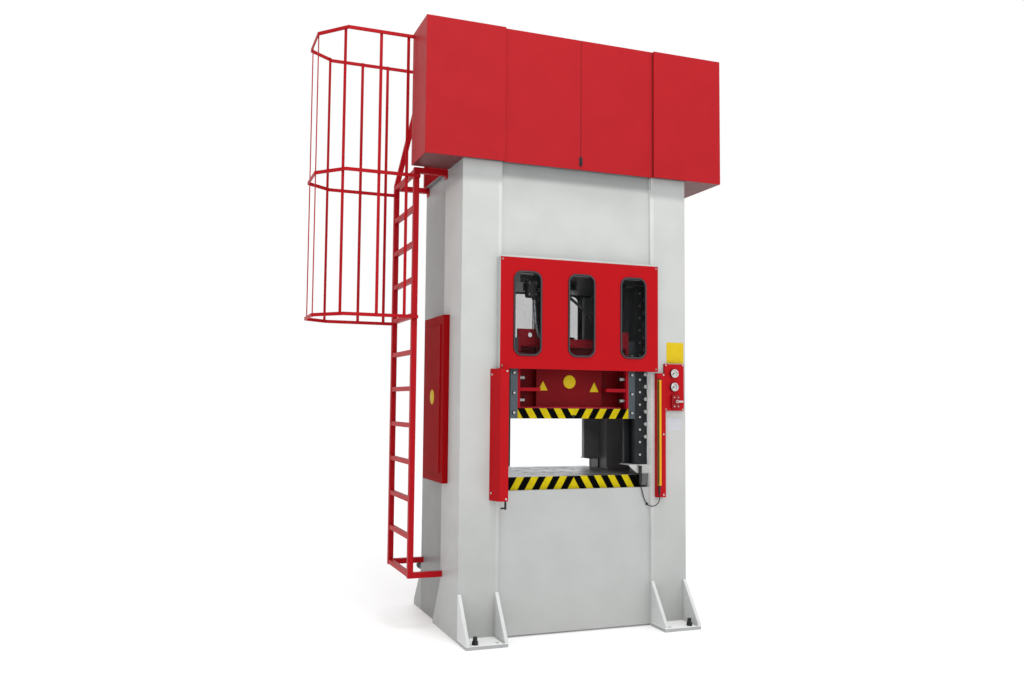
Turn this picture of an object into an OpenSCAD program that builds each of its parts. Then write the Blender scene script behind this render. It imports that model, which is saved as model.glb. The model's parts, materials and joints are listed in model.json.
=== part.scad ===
// H-frame deep drawing press: two welded uprights joined by a bed and a crown,
// a guided slide under a hydraulic cylinder, a die cushion in the bed, a service
// platform on top and a caged ladder on the left side.
// Origin: middle of the frame's footprint on the floor. +X right, +Y back, +Z up.

/* [Frame] */
// Depth of the uprights, front to back
frame_d = 1080; // [1040:1:1140]
// Height of the uprights, which is also the platform's level
frame_h = 3405; // [3380:1:3480]
// Width of one upright
column_w = 300; // [290:1:330]
// How far the cheek plate stands proud of the upright's outer side
cheek_t = 30; // [15:1:45]
// Depth of the proud cheek plate, from the front edge
cheek_d = 430; // [400:1:480]
// Height at which the cheek plate starts to flare
cheek_flare_h = 350; // [250:1:420]
// Length of the cheek plate's flare on the floor
cheek_flare_l = 200; // [100:1:260]
// Set-back of the bed and crown behind the upright's edges
web_inset = 20; // [10:1:30]
// Level of the bed's top
bed_top = 1030; // [1000:1:1060]
// Gap between the bed and the floor
bed_gap = 13; // [8:1:30]
// Height of the crown
crown_h = 805; // [760:1:815]
// Depth of the side window in each upright
side_window_d = 420; // [360:1:460]
// Height of the side window
side_window_h = 1140; // [1000:1:1180]
// Level of the side window's lower edge
side_window_z = 1110; // [1090:1:1150]
// Corner radius of the side window
side_window_r = 60; // [30:1:90]

/* [Feet] */
// How far each foot reaches past the upright
foot_l = 208; // [180:1:240]
// Thickness of the foot's base plate
foot_t = 25; // [20:1:35]
// Thickness of the foot's gussets
gusset_t = 25; // [15:1:35]
// Height of the gussets above the base plate
gusset_h = 306; // [240:1:340]
// Height of the gusset's blunt toe
gusset_toe = 16; // [8:1:30]
// Diameter of the anchor holes
anchor_d = 26; // [18:1:34]
// Anchor hole, from the upright's inner side
anchor_x = 64; // [50:1:90]
// Anchor hole, from the upright's front or back edge
anchor_y = 160; // [130:1:175]
// Diameter of the levelling bolts
level_d = 30; // [20:1:36]
// Length of the levelling bolts
level_l = 78; // [70:1:110]
// Gap round the levelling bolts in their holes
level_gap = 1; // [0.5:0.5:2]
// Width across corners of the levelling nuts
level_nut = 46; // [40:1:55]
// Levelling bolt, from the foot's outer side
level_x = 75; // [60:1:100]
// Levelling bolt, from the upright's front or back edge
level_y = 168; // [120:1:175]

/* [Bolster] */
// Gap between the bolster plate and the stays beside it
bolster_gap = 47; // [20:1:100]
// Depth of the bolster plate
bolster_d = 980; // [940:1:1000]
// Thickness of the bolster plate
bolster_t = 95; // [85:1:110]
// Mouth width of the T-slots
slot_mouth = 28; // [18:1:36]
// Width of the T-slots' undercut
slot_head = 50; // [40:1:60]
// Height of the T-slots' undercut
slot_head_h = 22; // [14:1:28]
// Depth of the T-slots
slot_depth = 48; // [40:1:58]
// Distance between neighbouring rows of T-slots and pins
row_pitch = 160; // [140:1:175]

/* [Cushion] */
// Width of the cushion plate
cushion_w = 640; // [580:1:700]
// Depth of the cushion plate
cushion_d = 620; // [580:1:680]
// Thickness of the cushion plate
cushion_t = 60; // [45:1:75]
// Side clearance of the cushion plate in the bed
cushion_gap = 15; // [8:1:25]
// Level of the cushion well's floor
cushion_floor = 620; // [580:1:660]
// Diameter of the cushion cylinder
cushion_cyl_d = 260; // [220:1:300]
// End wall of the cushion cylinder
cushion_wall = 20; // [15:1:30]
// Length of the cushion cylinder below the well's floor
cushion_cyl_l = 420; // [360:1:480]
// Diameter of the cushion cylinder's flange
cushion_flange_d = 380; // [350:1:430]
// Thickness of the cushion cylinder's flange
cushion_flange_t = 40; // [30:1:50]
// Diameter of the cushion ram
cushion_ram_d = 140; // [110:1:160]
// Length of the cushion ram below the plate
cushion_ram_l = 360; // [300:1:380]
// Diameter of the cushion pins
pin_d = 38; // [28:1:44]
// Side clearance of the pins in the bolster
pin_gap = 2; // [1:0.5:4]
// How far the pins' tops lie below the bolster's face at rest
pin_recess = 4; // [2:1:10]

/* [Slide] */
// Width of the slide
slide_w = 906; // [860:1:930]
// Depth of the slide
slide_d = 950; // [920:1:970]
// Share of the free height that lies under the slide in the pose shown
slide_rest = 0.4746; // [0.44:0.0001:0.52]
// Height of the slide
slide_h = 590; // [560:1:620]
// Thickness of the slide's base plate
slide_base_t = 75; // [60:1:90]
// Thickness of the slide's top plate
slide_top_t = 60; // [40:1:80]
// Thickness of the slide's side plates
slide_side_t = 20; // [16:1:30]
// Width of the slide's middle web
slide_web_w = 540; // [500:1:580]
// Set-back of the slide's middle web
slide_web_inset = 90; // [70:1:100]
// Depth of the bays at both ends of the slide's front and back
slide_bay = 150; // [110:1:160]
// Level of the slide's mid ribs above its underside
slide_rib_z = 200; // [180:1:220]
// Thickness of the slide's mid ribs
slide_rib_t = 26; // [18:1:34]
// Set-back of the mid ribs behind the slide's front
slide_rib_inset = 6; // [2:1:20]
// Height of the lifting lugs on the slide's ends
eye_h = 66; // [50:1:75]
// Width of the lifting lugs
eye_w = 145; // [130:1:170]
// Thickness of the lifting lugs
eye_t = 25; // [16:1:32]
// Diameter of the lugs' eyes
eye_d = 40; // [30:1:44]
// Eye, from the slide's end
eye_x = 99; // [80:1:110]
// Eye, above the slide's top plate
eye_z = 22; // [22:1:30]
// Width across corners of the bolts that hold the shoes
shoe_bolt_d = 36; // [28:1:40]
// Height of those bolts' heads
shoe_bolt_l = 43; // [30:1:50]
// Level of the lowest of those bolts above the slide's underside
shoe_bolt_z = 135; // [120:1:150]
// Distance between those bolts
shoe_bolt_pitch = 163; // [150:1:170]
// Diameter of the pilot hole in the middle of the slide's front
pilot_d = 18; // [12:1:24]
// Depth of the pilot hole
pilot_l = 30; // [20:1:40]
// Distance between the die bolt holes in the slide's face
die_bolt_pitch = 600; // [500:1:640]
// Diameter of the die bolt holes
die_bolt_d = 20; // [16:1:24]
// Depth of the die bolt holes
die_bolt_l = 50; // [35:1:60]
// Depth of the guide shoes on the slide's corners
shoe_d = 100; // [80:1:115]
// Thickness of the guide shoes
shoe_t = 55.6; // [45:0.1:65]

/* [Guides] */
// Width of the gibs
gib_w = 102; // [90:1:120]
// Length of the gib's lip behind the shoe
gib_lip_l = 40; // [25:1:45]
// Thickness of the gib's lip
gib_lip_t = 30; // [20:1:36]
// Level of the gibs' lower end above the bed
gib_lift = 170; // [165:1:190]
// Gap between the gibs and the crown
gib_top_gap = 40; // [20:1:60]
// Running clearance between the gibs and the shoes
gib_gap = 0.4; // [0.3:0.1:1]
// Diameter of the adjusting bolts' heads
adjust_d = 30; // [22:1:34]
// Height of the adjusting bolts' heads
adjust_l = 20; // [12:1:28]
// Distance between adjusting bolts
adjust_pitch = 95; // [85:1:110]
// Lowest adjusting bolt, above the gibs' lower end
adjust_z = 210; // [150:1:240]
// Lowest lock screw, above the gibs' lower end
lock_z = 73; // [50:1:90]
// Thickness of the plates under the gibs
bracket_t = 6; // [4:1:8]
// How far the plates under the gibs stand forward of them
bracket_out = 25; // [20:1:32]
// Height of the right front plate's bent lip
bracket_lip = 62; // [50:1:66]
// How far the right front plate reaches past the gib's lip
bracket_reach = 22; // [10:1:22]
// Width of the leg that hangs from that lip
bracket_leg_w = 60; // [40:1:70]
// Length of that leg
bracket_leg_l = 156; // [120:1:165]
// Size of the tab that holds the cable's gland
entry_tab = 34; // [30:1:40]
// Thickness of the stays beside the uprights
stay_t = 12; // [8:1:16]

/* [Cylinder] */
// Outer diameter of the main cylinder
cyl_d = 440; // [410:1:470]
// Bore of the main cylinder
cyl_bore = 340; // [320:1:350]
// Diameter of the main cylinder's flange
cyl_flange_d = 540; // [520:1:570]
// Thickness of the main cylinder's flange
cyl_flange_t = 80; // [60:1:100]
// End wall of the main cylinder, below its flange's top
cyl_wall = 90; // [70:1:120]
// How much narrower than the cylinder its gland is
gland_step = 10; // [5:1:20]
// Gap between the flange and the hole in the platform's floor
floor_gap = 5; // [3:1:10]
// Thickness of the gland plate under the cylinder
gland_t = 50; // [35:1:55]
// Diameter of the ram
ram_d = 280; // [250:1:300]
// Diameter of the ram's foot flange
ram_foot_d = 400; // [380:1:430]
// Thickness of the ram's foot flange
ram_foot_t = 40; // [25:1:45]
// How far the ram reaches into the cylinder in the pose shown
ram_in = 270; // [250:1:300]
// Height of the piston
piston_h = 120; // [90:1:140]
// Running clearance of the ram and piston
ram_gap = 0.4; // [0.3:0.1:0.8]

/* [Window panels] */
// How far the window panels lap over each upright
panel_lap = 29; // [20:1:40]
// Height of the window panels
panel_h = 802; // [780:1:830]
// How far the window panels lap over the crown
panel_top_lap = 104; // [90:1:120]
// Depth of the window panels
panel_d = 60; // [40:1:75]
// Width of each window
window_w = 206; // [180:1:260]
// Height of each window
window_h = 600; // [560:1:660]
// Distance between window centres
window_pitch = 428; // [390:1:460]
// Level of the windows' lower edge above the panel's
window_z = 100; // [75:1:110]
// Corner radius of the windows
window_r = 58; // [30:1:80]
// Width of the rubber trim round each window
seal_w = 16; // [10:1:24]
// How far the rubber trim stands proud
seal_t = 7; // [4:1:12]
// Thickness of the window panes
pane_t = 5; // [3:1:8]

/* [Head] */
// How far the head reaches past each upright
head_side = 289; // [270:1:320]
// Height of the head's panels
head_h = 995; // [900:1:1050]
// How far the head's corner panels stand forward of the uprights
head_overhang = 30; // [26:1:60]
// Depth of the left corner panel's side
head_return = 386; // [360:1:400]
// Set-back of the two middle panels
mid_recess = 22; // [14:1:25]
// Width of one middle panel
mid_panel_w = 600; // [560:1:640]
// How much further the head reaches on the right than on the left
head_wide = 22; // [0:1:40]
// Gap between neighbouring panels
seam = 4; // [2:1:8]
// Thickness of the sheet-metal panels
sheet_t = 4; // [3:0.5:6]
// Width of the panels' folded flanges
flange_w = 60; // [50:1:80]
// Thickness of the platform's floor plate
floor_t = 6; // [4:1:10]
// Size of the square tube under the right deck
deck_beam = 40; // [30:1:60]

/* [Power unit] */
// Width of the oil tank
tank_w = 700; // [620:1:740]
// Depth of the oil tank
tank_d = 840; // [760:1:880]
// Height of the oil tank
tank_h = 560; // [480:1:620]
// Gap between the oil tank and the head's right side
tank_gap = 90; // [70:1:120]
// Diameter of the electric motor
motor_d = 270; // [240:1:280]
// Length of the electric motor
motor_l = 440; // [400:1:460]
// Level of the motor's axis above the floor plate
motor_z = 170; // [160:1:190]
// Motor axis, from the middle panels' line
motor_y = 178; // [176:1:190]
// Gap between the motor's tail and the upright's outer side
motor_gap = 40; // [20:1:60]
// Length of the bell housing between motor and pump
bell_l = 120; // [90:1:140]
// Length of the pump
pump_l = 150; // [120:1:160]
// Diameter of the pump
pump_d = 160; // [130:1:180]
// Number of the motor's cooling fins
fin_count = 30; // [20:1:36]
// Width of the grooves between the fins
fin_gap = 8; // [5:1:9]
// Depth of those grooves
fin_h = 12; // [8:1:16]
// Width of the motor's terminal box
box_w = 110; // [90:1:130]
// Height of the motor's terminal box
box_h = 45; // [35:1:55]
// Length of each of the motor's feet
motor_foot = 40; // [30:1:50]
// Thickness of the bell housing's flanges
bell_flange_t = 18; // [12:1:24]
// Straight run of the riser below its bend
riser_l = 20; // [10:1:40]
// Diameter of the pipes
pipe_d = 60; // [40:1:70]
// Size of the square valve block
block_w = 260; // [220:1:300]
// Height of the valve block
block_h = 320; // [300:1:360]
// Width of one solenoid valve on the block
valve_unit_w = 64; // [50:1:70]
// Height of one solenoid valve
valve_unit_h = 60; // [50:1:70]
// Size of the square solenoids
solenoid = 44; // [36:1:48]
// How far the solenoids stand out
solenoid_l = 70; // [50:1:80]
// Thickness and overhang of the tank's lid
lid_t = 12; // [8:1:16]
// Diameter of the filler cap
cap_d = 96; // [80:1:110]
// Height of the filler cap
cap_h = 38; // [30:1:46]
// Diameter of the filler neck
neck_d = 70; // [55:1:75]
// Height of the filler neck
neck_h = 40; // [30:1:50]

/* [Ladder] */
// Distance from the upright's outer side to the ladder's axis
ladder_x = 237; // [225:1:260]
// Size of the square rails
rail = 40; // [35:1:46]
// Level of the rails' lower end
ladder_z = 383; // [355:1:450]
// Distance between rungs, before they are spread evenly
rung_pitch = 272; // [250:1:280]
// Gap between the highest rung and the platform
rung_top_gap = 9; // [4:1:30]
// Gap between the rails and the cage's sides
rail_gap = 30; // [26:1:40]
// Size of the square rungs
rung = 34; // [25:1:40]
// Size of the ladder's bolted plates
lug = 64; // [50:1:90]
// Thickness of the ladder's bolted plates
lug_t = 8; // [6:1:12]
// Level of the upper arms below the platform
arm_drop = 40; // [40:1:60]
// How far the handrail leans inwards on its way up
handrail_lean = 225; // [180:1:230]

/* [Cage] */
// Thickness of the hoops, seen from above
hoop_t = 10; // [8:1:14]
// Height of the hoops
hoop_h = 25; // [20:1:32]
// Distance from the ladder's axis to the cage's outer side
cage_x = 727; // [680:1:780]
// Length of the cage's corner chamfers away from the ladder
cage_chamfer = 190; // [150:1:200]
// Length of the near chamfer along the cage's outer side
near_chamfer = 215; // [150:1:230]
// Length of the far chamfer along the cage's outer side
far_chamfer = 150; // [120:1:180]
// Gap between the highest hoop and the head's top
cage_top_gap = 3; // [0:1:20]
// Distance between hoops
hoop_pitch = 1050; // [1020:1:1060]
// Number of hoops
hoop_count = 3; // [3:1:3]
// Width of the flat upright bars
bar_w = 22; // [18:1:30]
// Thickness of the flat upright bars
bar_t = 6; // [4:1:8]
// First upright bar, from the ladder's axis
bar_first = 84; // [70:1:130]
// Distance between upright bars
bar_pitch = 206; // [180:1:215]
// Corner bars, from the cage's corners
bar_corner = 30; // [20:1:40]

/* [Light curtains] */
// How far the left cover reaches below the bed's top
cover_drop = 60; // [40:1:70]
// Gap between the left cover and the window panel
cover_top_gap = 3; // [2:1:20]
// How far the curtain covers stand forward
cover_d = 110; // [90:1:130]
// Width of the left cover's front
cover_front_w = 65; // [55:1:80]
// Width of the left cover's slanting side
cover_slant_w = 38; // [30:1:60]
// Width of the left cover's fixing flange, turned inwards
cover_flange = 25; // [18:1:35]
// How far the left cover reaches into the opening
cover_in = 26; // [20:1:45]
// Width of the right channel
channel_w = 74; // [66:1:75]
// Depth of the right channel
channel_d = 40; // [32:1:48]
// Right channel, from the upright's inner side
channel_x = 31; // [24:1:31]
// How far the right channel reaches below the bed's top
channel_drop = 73; // [60:1:80]
// Gap between the right channel and the window panel
channel_top_gap = 10; // [4:1:20]
// Width of the light curtain's profile
curtain_w = 18; // [15:1:24]
// Depth of the light curtain's profile
curtain_d = 32; // [26:1:38]
// Level of the light curtain's lower end above the bed
curtain_lift = 16; // [10:1:30]
// Gap between the light curtain and the window panel's lower edge
curtain_top_gap = 61; // [40:1:80]
// Depth of the groove for the beams
curtain_groove = 3; // [2:1:5]
// Diameter of the curtain's plug
plug_d = 16; // [12:1:18]
// Length of the curtain's plug
plug_l = 58; // [40:1:70]
// Length of the left plug's elbow
elbow_l = 34; // [24:1:40]

/* [Gauges] */
// Width of the gauge panel
gauge_panel_w = 168; // [150:1:180]
// Height of the gauge panel
gauge_panel_h = 356; // [340:1:380]
// Depth of the gauge panel
gauge_panel_d = 24; // [16:1:34]
// How far the gauge panel reaches below the window panel
gauge_drop = 293; // [280:1:310]
// Gauge panel's right edge, from the upright's outer side
gauge_panel_x = 26; // [18:1:34]
// Diameter of the gauges
gauge_d = 64; // [56:1:74]
// Depth of the gauges
gauge_t = 24; // [22:1:32]
// Thickness of the gauge cases' floor
gauge_floor = 6; // [4:0.5:8]
// How far the gauges sit left of the panel's middle
gauge_shift = 10; // [0:1:16]
// Wall of the gauge cases
gauge_wall = 5; // [4:0.5:7]
// Level of the upper gauge above the panel's lower edge
gauge_z = 284; // [276:1:300]
// Distance between the gauges
gauge_pitch = 103; // [92:1:110]
// Thickness of the gauge glasses
glass_t = 3; // [2:0.5:4]
// How far the glasses sit behind the rims
glass_in = 2; // [1:0.5:3]
// Gap round the glasses
glass_gap = 0.1; // [0.05:0.05:0.3]
// Diameter of the pointers' spindles
spindle_d = 4; // [3:0.5:6]
// How far the spindles stand out past the pointers
spindle_end = 3; // [2:0.5:4]
// Diameter of the pointers' hubs
hub_d = 11; // [8:0.5:12]
// Thickness of the pointers' hubs
hub_t = 3; // [2:0.5:3]
// Gap between the dials and the hubs
hub_lift = 3; // [2:0.5:4]
// Width of the pointers
needle_w = 3; // [2:0.5:4]
// Thickness of the pointers
needle_t = 1.5; // [1:0.5:2]
// Length of the pointers' tails
needle_tail = 8; // [6:0.5:12]
// Gap between the pointers' tips and the cases
needle_gap = 5; // [4:0.5:8]
// Running clearance of the pointers and the lever
pivot_gap = 0.05; // [0.02:0.01:0.1]
// Width of the hand valve's body
valve_w = 66; // [56:1:80]
// Height of the hand valve's body
valve_h = 100; // [84:1:110]
// Depth of the hand valve's body
valve_t = 26; // [18:1:34]
// Corner radius of the hand valve's body
valve_r = 8; // [4:1:12]
// Level of the hand valve above the panel's lower edge
valve_z = 70; // [64:1:80]
// Diameter of the hand valve's collar
collar_d = 36; // [30:1:44]
// Length of the hand valve's collar
collar_l = 8; // [5:1:12]
// Diameter of the hand valve's stem
stem_d = 12; // [8:1:16]
// Length of the hand valve's stem
stem_l = 24; // [24:1:30]
// Gap between the lever's hub and the collar
lever_gap = 0.4; // [0.3:0.1:1]
// Diameter of the lever's hub
lever_hub_d = 24; // [20:1:28]
// Length of the lever's hub
lever_hub_l = 14; // [12:1:15]
// Thickness of the lever
lever_t = 6; // [4:1:8]
// Length of the hand valve's lever
lever_l = 46; // [40:1:60]
// Width of the hand valve's lever
lever_w = 14; // [10:1:18]

/* [Side guards] */
// Depth of the side guards
guard_d = 530; // [500:1:560]
// Height of the side guards
guard_h = 1230; // [1200:1:1260]
// Level of the side guards' lower edge
guard_z = 1070; // [1050:1:1080]
// How far the side guards stand out from the uprights
guard_t = 44; // [30:1:60]
// Width of the border round the raised field of a side guard
guard_border = 70; // [50:1:90]
// Height of the raised field of a side guard
guard_raise = 8; // [4:1:12]

/* [Hidden] */
$fn = 64;
// Overshoot of a cut past the face it opens
cut = 1;
// Frame, built outwards from the slide, its shoes and the gibs
gib_face = slide_w / 2 + shoe_t + gib_gap;
inner = gib_face + gib_w;
hw = inner + column_w;
hd = frame_d / 2;
web_y = hd - web_inset;
crown_bottom = frame_h - crown_h;
// Head and platform
floor_top = frame_h + floor_t;
head_top = frame_h + head_h;
head_x = hw + head_side;
right_x = head_x + head_wide;
head_y = hd + head_overhang;
mid_y = head_y - mid_recess;
return_y = -head_y + head_return;
// Ladder and cage, fitted between the left corner panel and the rear panel
ladder_axis = -(hw + ladder_x);
cage_y0 = return_y;
cage_y1 = hd - sheet_t;
near_rail_y = cage_y0 + rail_gap + rail / 2;
far_rail_y = cage_y1 - rail_gap - rail / 2;
cage_out = ladder_axis - cage_x;
cage_z = head_top - cage_top_gap - hoop_h - (hoop_count - 1) * hoop_pitch;
rung_lift = 5;
rung_span = frame_h - rung_top_gap - rung - rung_lift - ladder_z;
rung_count = round(rung_span / rung_pitch) + 1;
// Slide, shoes and gibs
bolster_w = 2 * (inner - stay_t - bolster_gap);
bolster_top = bed_top + bolster_t;
slide_z = bolster_top + round(slide_rest * (crown_bottom - bolster_top - slide_h));
slide_top = slide_z + slide_h;
shoe_y0 = slide_d / 2;
shoe_y1 = slide_d / 2 - shoe_d;
shoe_bolts = [0 : 2];
ram_l = crown_bottom - slide_top + ram_in;
gib_z = bed_top + gib_lift;
gib_l = crown_bottom - gib_top_gap - gib_z;
// Cushion
cushion_z = cushion_floor + cushion_flange_t + gib_gap;
cushion_top = cushion_z + cushion_t;
pin_rows = [-1.5, -0.5, 0.5, 1.5];
slot_rows = [-2, -1, 1, 2];
// Window panels
panel_w = 2 * (inner + panel_lap);
panel_z = crown_bottom + panel_top_lap - panel_h;
window_mid_z = panel_z + window_z + window_h / 2;
panel_front = hd + panel_d;
// Power unit
motor_axis_y = -mid_y + motor_y;
motor_axis_z = floor_top + motor_z;
motor_x = -hw + motor_gap;
bell_x = motor_x + motor_l;
pump_x = bell_x + bell_l;
tank_x = head_x - tank_gap - tank_w;
block_z = frame_h + cyl_flange_t;
return_z = block_z + block_h * 0.3;
// Gauges
gauge_panel_z = panel_z - gauge_drop;
gauge_x = hw - gauge_panel_x - gauge_panel_w / 2;
gauge_face = hd + gauge_panel_d;
gauge_pocket = gauge_t - gauge_floor;
gauge_axis = gauge_x - gauge_shift;
pointer_y = -gauge_face - gauge_floor - hub_lift - hub_t;
lever_y = -gauge_face - valve_t - collar_l - lever_gap;
gauge_levels = [gauge_panel_z + gauge_z, gauge_panel_z + gauge_z - gauge_pitch];
valve_level = gauge_panel_z + valve_z;
tank_top = floor_top + tank_h;
// Light curtains
cover_z = bed_top - cover_drop;
cover_h = panel_z - cover_top_gap - cover_z;
channel_z = bed_top - channel_drop;
channel_h = panel_z - channel_top_gap - channel_z;
channel_front = hd + channel_d;
curtain_z = bed_top + curtain_lift;
curtain_l = panel_z - curtain_top_gap - curtain_z;
curtain_x = inner + channel_x + curtain_w / 2;
left_curtain_x = -inner + cover_in - sheet_t - curtain_w / 2;
left_curtain_y = -hd - cover_d + sheet_t + curtain_d;
plug_z = curtain_z - plug_l;
// Route of the curtain's cable from its plug to the gib's bracket: X from the upright's
// inner side, Y from its front, Z from the plug's end
cable_r = 3.5;
cable_sides = 10;
clip_gap = 0.6;
clip_at = 10;
clip_w = 18;
clip_h = 16;
entry_d = 24;
cable_steps = [
  [40, -56, 0], [40, -56, -12], [41, -56, -26], [41, -55, -42], [38, -51, -60],
  [31, -44, -76], [21, -33, -89], [9, -20, -97], [-6, -6, -98], [-18, 5, -93],
  [-28, 10, -83], [-38, 10, -71], [-47, 10, -56], [-55, 10, -39], [-62, 10, -20],
  [-67, 10, 0], [-72, 11, 20], [-77, 13, 38], [-80, 16, 51], [-81, 19, 63],
  [-81, 20, 72], [-81, 20, 76]
];
cable_route = [for (p = cable_steps) [inner, -hd, plug_z] + p];
entry_p = cable_route[len(cable_route) - 1];

// Rounded rectangle about the origin
module rounded(w, h, r) {
  square([w - 2 * r, h], center = true);
  square([w, h - 2 * r], center = true);
  for (x = [-1, 1], y = [-1, 1]) translate([x * (w / 2 - r), y * (h / 2 - r)]) circle(r);
}

// Box between two opposite corners
module span(a, b) {
  translate(a) cube(b - a);
}

// Profile in the YZ plane, drawn from x to x + t
module along_x(x, t) {
  translate([x, 0, 0]) rotate([90, 0, 90]) linear_extrude(t) children();
}

// Profile in the XZ plane, drawn from y to y + t
module along_y(y, t) {
  translate([0, y + t, 0]) rotate([90, 0, 0]) linear_extrude(t) children();
}

// Round bar along Y, from y to y + l
module bar_y(d, y, l) {
  translate([0, y, 0]) rotate([-90, 0, 0]) cylinder(d = d, h = l);
}

// Round bar along X, from x to x + l
module bar_x(d, x, l) {
  translate([x, 0, 0]) rotate([0, 90, 0]) cylinder(d = d, h = l);
}

// The same shape on the left and the right
module both_sides() {
  children();
  mirror([1, 0, 0]) children();
}

// Right-hand upright: a box with a proud cheek plate and a side window
module upright() {
  difference() {
    union() {
      span([inner, -hd, 0], [hw - cheek_t, hd, frame_h]);
      along_x(hw - cheek_t, cheek_t) polygon([
        [-hd, 0], [-hd + cheek_d + cheek_flare_l, 0], [-hd + cheek_d, cheek_flare_h],
        [-hd + cheek_d, frame_h], [-hd, frame_h]
      ]);
    }
    along_x(inner - cut, column_w + 2 * cut)
      translate([0, side_window_z + side_window_h / 2])
        rounded(side_window_d, side_window_h, side_window_r);
  }
}

module right_upright() color("gainsboro") upright();
module left_upright() color("gainsboro") mirror([1, 0, 0]) upright();

module crown() color("gainsboro") difference() {
  span([-inner, -web_y, crown_bottom], [inner, web_y, frame_h]);
  translate([0, 0, crown_bottom - cut]) cylinder(d = cyl_d + 2 * ram_gap, h = frame_h);
}

module bed() color("gainsboro") difference() {
  span([-inner, -web_y, bed_gap], [inner, web_y, bed_top]);
  span([-cushion_w / 2 - cushion_gap, -cushion_d / 2 - cushion_gap, cushion_floor],
       [cushion_w / 2 + cushion_gap, cushion_d / 2 + cushion_gap, bed_top + cut]);
  translate([0, 0, cushion_floor - cushion_cyl_l - cut])
    cylinder(d = cushion_cyl_d + 2 * ram_gap, h = cushion_cyl_l + 2 * cut);
}

// Right-hand back foot: base plate with two gussets and two holes; outer is its outer side
module foot(outer) {
  difference() {
    span([inner, hd, 0], [outer, hd + foot_l, foot_t]);
    translate([inner + anchor_x, hd + anchor_y, -cut]) cylinder(d = anchor_d, h = foot_t + 2 * cut);
    translate([outer - level_x, hd + level_y, -cut])
      cylinder(d = level_d + 2 * level_gap, h = foot_t + 2 * cut);
  }
  for (x = [inner, outer - gusset_t])
    along_x(x, gusset_t) polygon([
      [hd, foot_t], [hd + foot_l, foot_t], [hd + foot_l, foot_t + gusset_toe], [hd, foot_t + gusset_h]
    ]);
}

module rear_feet() color("whitesmoke") both_sides() foot(hw - cheek_t);
module front_feet() color("whitesmoke") mirror([0, 1, 0]) both_sides() foot(hw);

module levelling_bolts() color("#202020")
  for (sx = [-1, 1], sy = [-1, 1])
    translate([sx * (hw - level_x - (sy > 0 ? cheek_t : 0)), sy * (hd + level_y), 0]) {
      cylinder(d = level_d, h = level_l);
      translate([0, 0, foot_t]) cylinder(d = level_nut, h = level_d * 0.8, $fn = 6);
    }

// Die bed with T-slots across its width and holes for the cushion pins
module bolster() color("#8c9196") difference() {
  span([-bolster_w / 2, -bolster_d / 2, bed_top], [bolster_w / 2, bolster_d / 2, bolster_top]);
  for (row = slot_rows) translate([0, row * row_pitch, 0]) {
    span([-bolster_w / 2 - cut, -slot_mouth / 2, bolster_top - slot_depth],
         [bolster_w / 2 + cut, slot_mouth / 2, bolster_top + cut]);
    span([-bolster_w / 2 - cut, -slot_head / 2, bolster_top - slot_depth],
         [bolster_w / 2 + cut, slot_head / 2, bolster_top - slot_depth + slot_head_h]);
  }
  for (x = pin_rows, y = pin_rows)
    translate([x * row_pitch, y * row_pitch, bed_top - cut])
      cylinder(d = pin_d + 2 * pin_gap, h = bolster_t + 2 * cut);
}

// Right-hand back gib: a block on the upright with a lip that the shoe runs along
module gib() {
  translate([0, 0, gib_z]) linear_extrude(gib_l) polygon([
    [inner, shoe_y0], [gib_face, shoe_y0], [gib_face, shoe_y1 - gib_gap],
    [gib_face - gib_lip_l, shoe_y1 - gib_gap], [gib_face - gib_lip_l, shoe_y1 - gib_gap - gib_lip_t],
    [inner, shoe_y1 - gib_gap - gib_lip_t]
  ]);
}

module rear_gibs() color("#4a4d50") both_sides() gib();
module front_gibs() color("#4a4d50") mirror([0, 1, 0]) both_sides() gib();

// Two rows of bolts on the front and back faces of the gibs
module gib_bolts() color("silver")
  for (sx = [-1, 1], sy = [0, 1]) mirror([0, sy, 0]) {
    for (z = [adjust_z : adjust_pitch : gib_l - adjust_d])
      translate([sx * (inner - gib_w * 0.2), 0, gib_z + z]) bar_y(adjust_d, shoe_y0, adjust_l, $fn = 6);
    for (z = [lock_z : adjust_pitch : gib_l - adjust_d])
      translate([sx * (inner - gib_w * 0.62), 0, gib_z + z]) bar_y(adjust_d * 0.55, shoe_y0, adjust_l * 0.4);
  }

// Plates under the gibs, each on a stay beside the upright; the right front one reaches
// further and has a bent lip with a leg and a tab for the cable's gland
module gib_brackets() color("#b4b6b4") {
  y0 = -shoe_y0 - bracket_out;
  y1 = -shoe_y1 + gib_gap + gib_lip_t;
  z0 = gib_z - bracket_t;
  x0 = gib_face - gib_lip_l - bracket_reach;
  for (sy = [0, 1]) mirror([0, sy, 0]) both_sides() {
    span([gib_face, y0, z0], [inner, y1, gib_z]);
    along_x(inner - stay_t, stay_t)
      polygon([[y1, z0], [-shoe_y0, z0], [-shoe_y0 + bracket_out, bed_top], [y1, bed_top]]);
  }
  span([x0, y0, z0], [inner, y1, gib_z]);
  along_y(y0, bracket_t) polygon([
    [x0, gib_z], [x0, z0 - bracket_t], [x0 + bracket_lip, gib_z - bracket_lip],
    [inner - bracket_leg_w, gib_z - bracket_lip], [inner - bracket_leg_w, gib_z - bracket_leg_l],
    [inner - bracket_leg_w / 3, gib_z - bracket_leg_l], [inner, gib_z - bracket_lip], [inner, gib_z]
  ]);
  span([entry_p[0] - entry_tab / 2, y0 - entry_tab, z0], [entry_p[0] + entry_tab / 2, y0, gib_z]);
}

// Main cylinder, hung in the crown by its top flange
module main_cylinder() color("#3c4044") difference() {
  union() {
    translate([0, 0, crown_bottom]) cylinder(d = cyl_d, h = frame_h - crown_bottom);
    translate([0, 0, frame_h]) cylinder(d = cyl_flange_d, h = cyl_flange_t);
  }
  translate([0, 0, crown_bottom - cut])
    cylinder(d = cyl_bore, h = frame_h + cyl_flange_t - cyl_wall - crown_bottom + cut);
}

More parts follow.
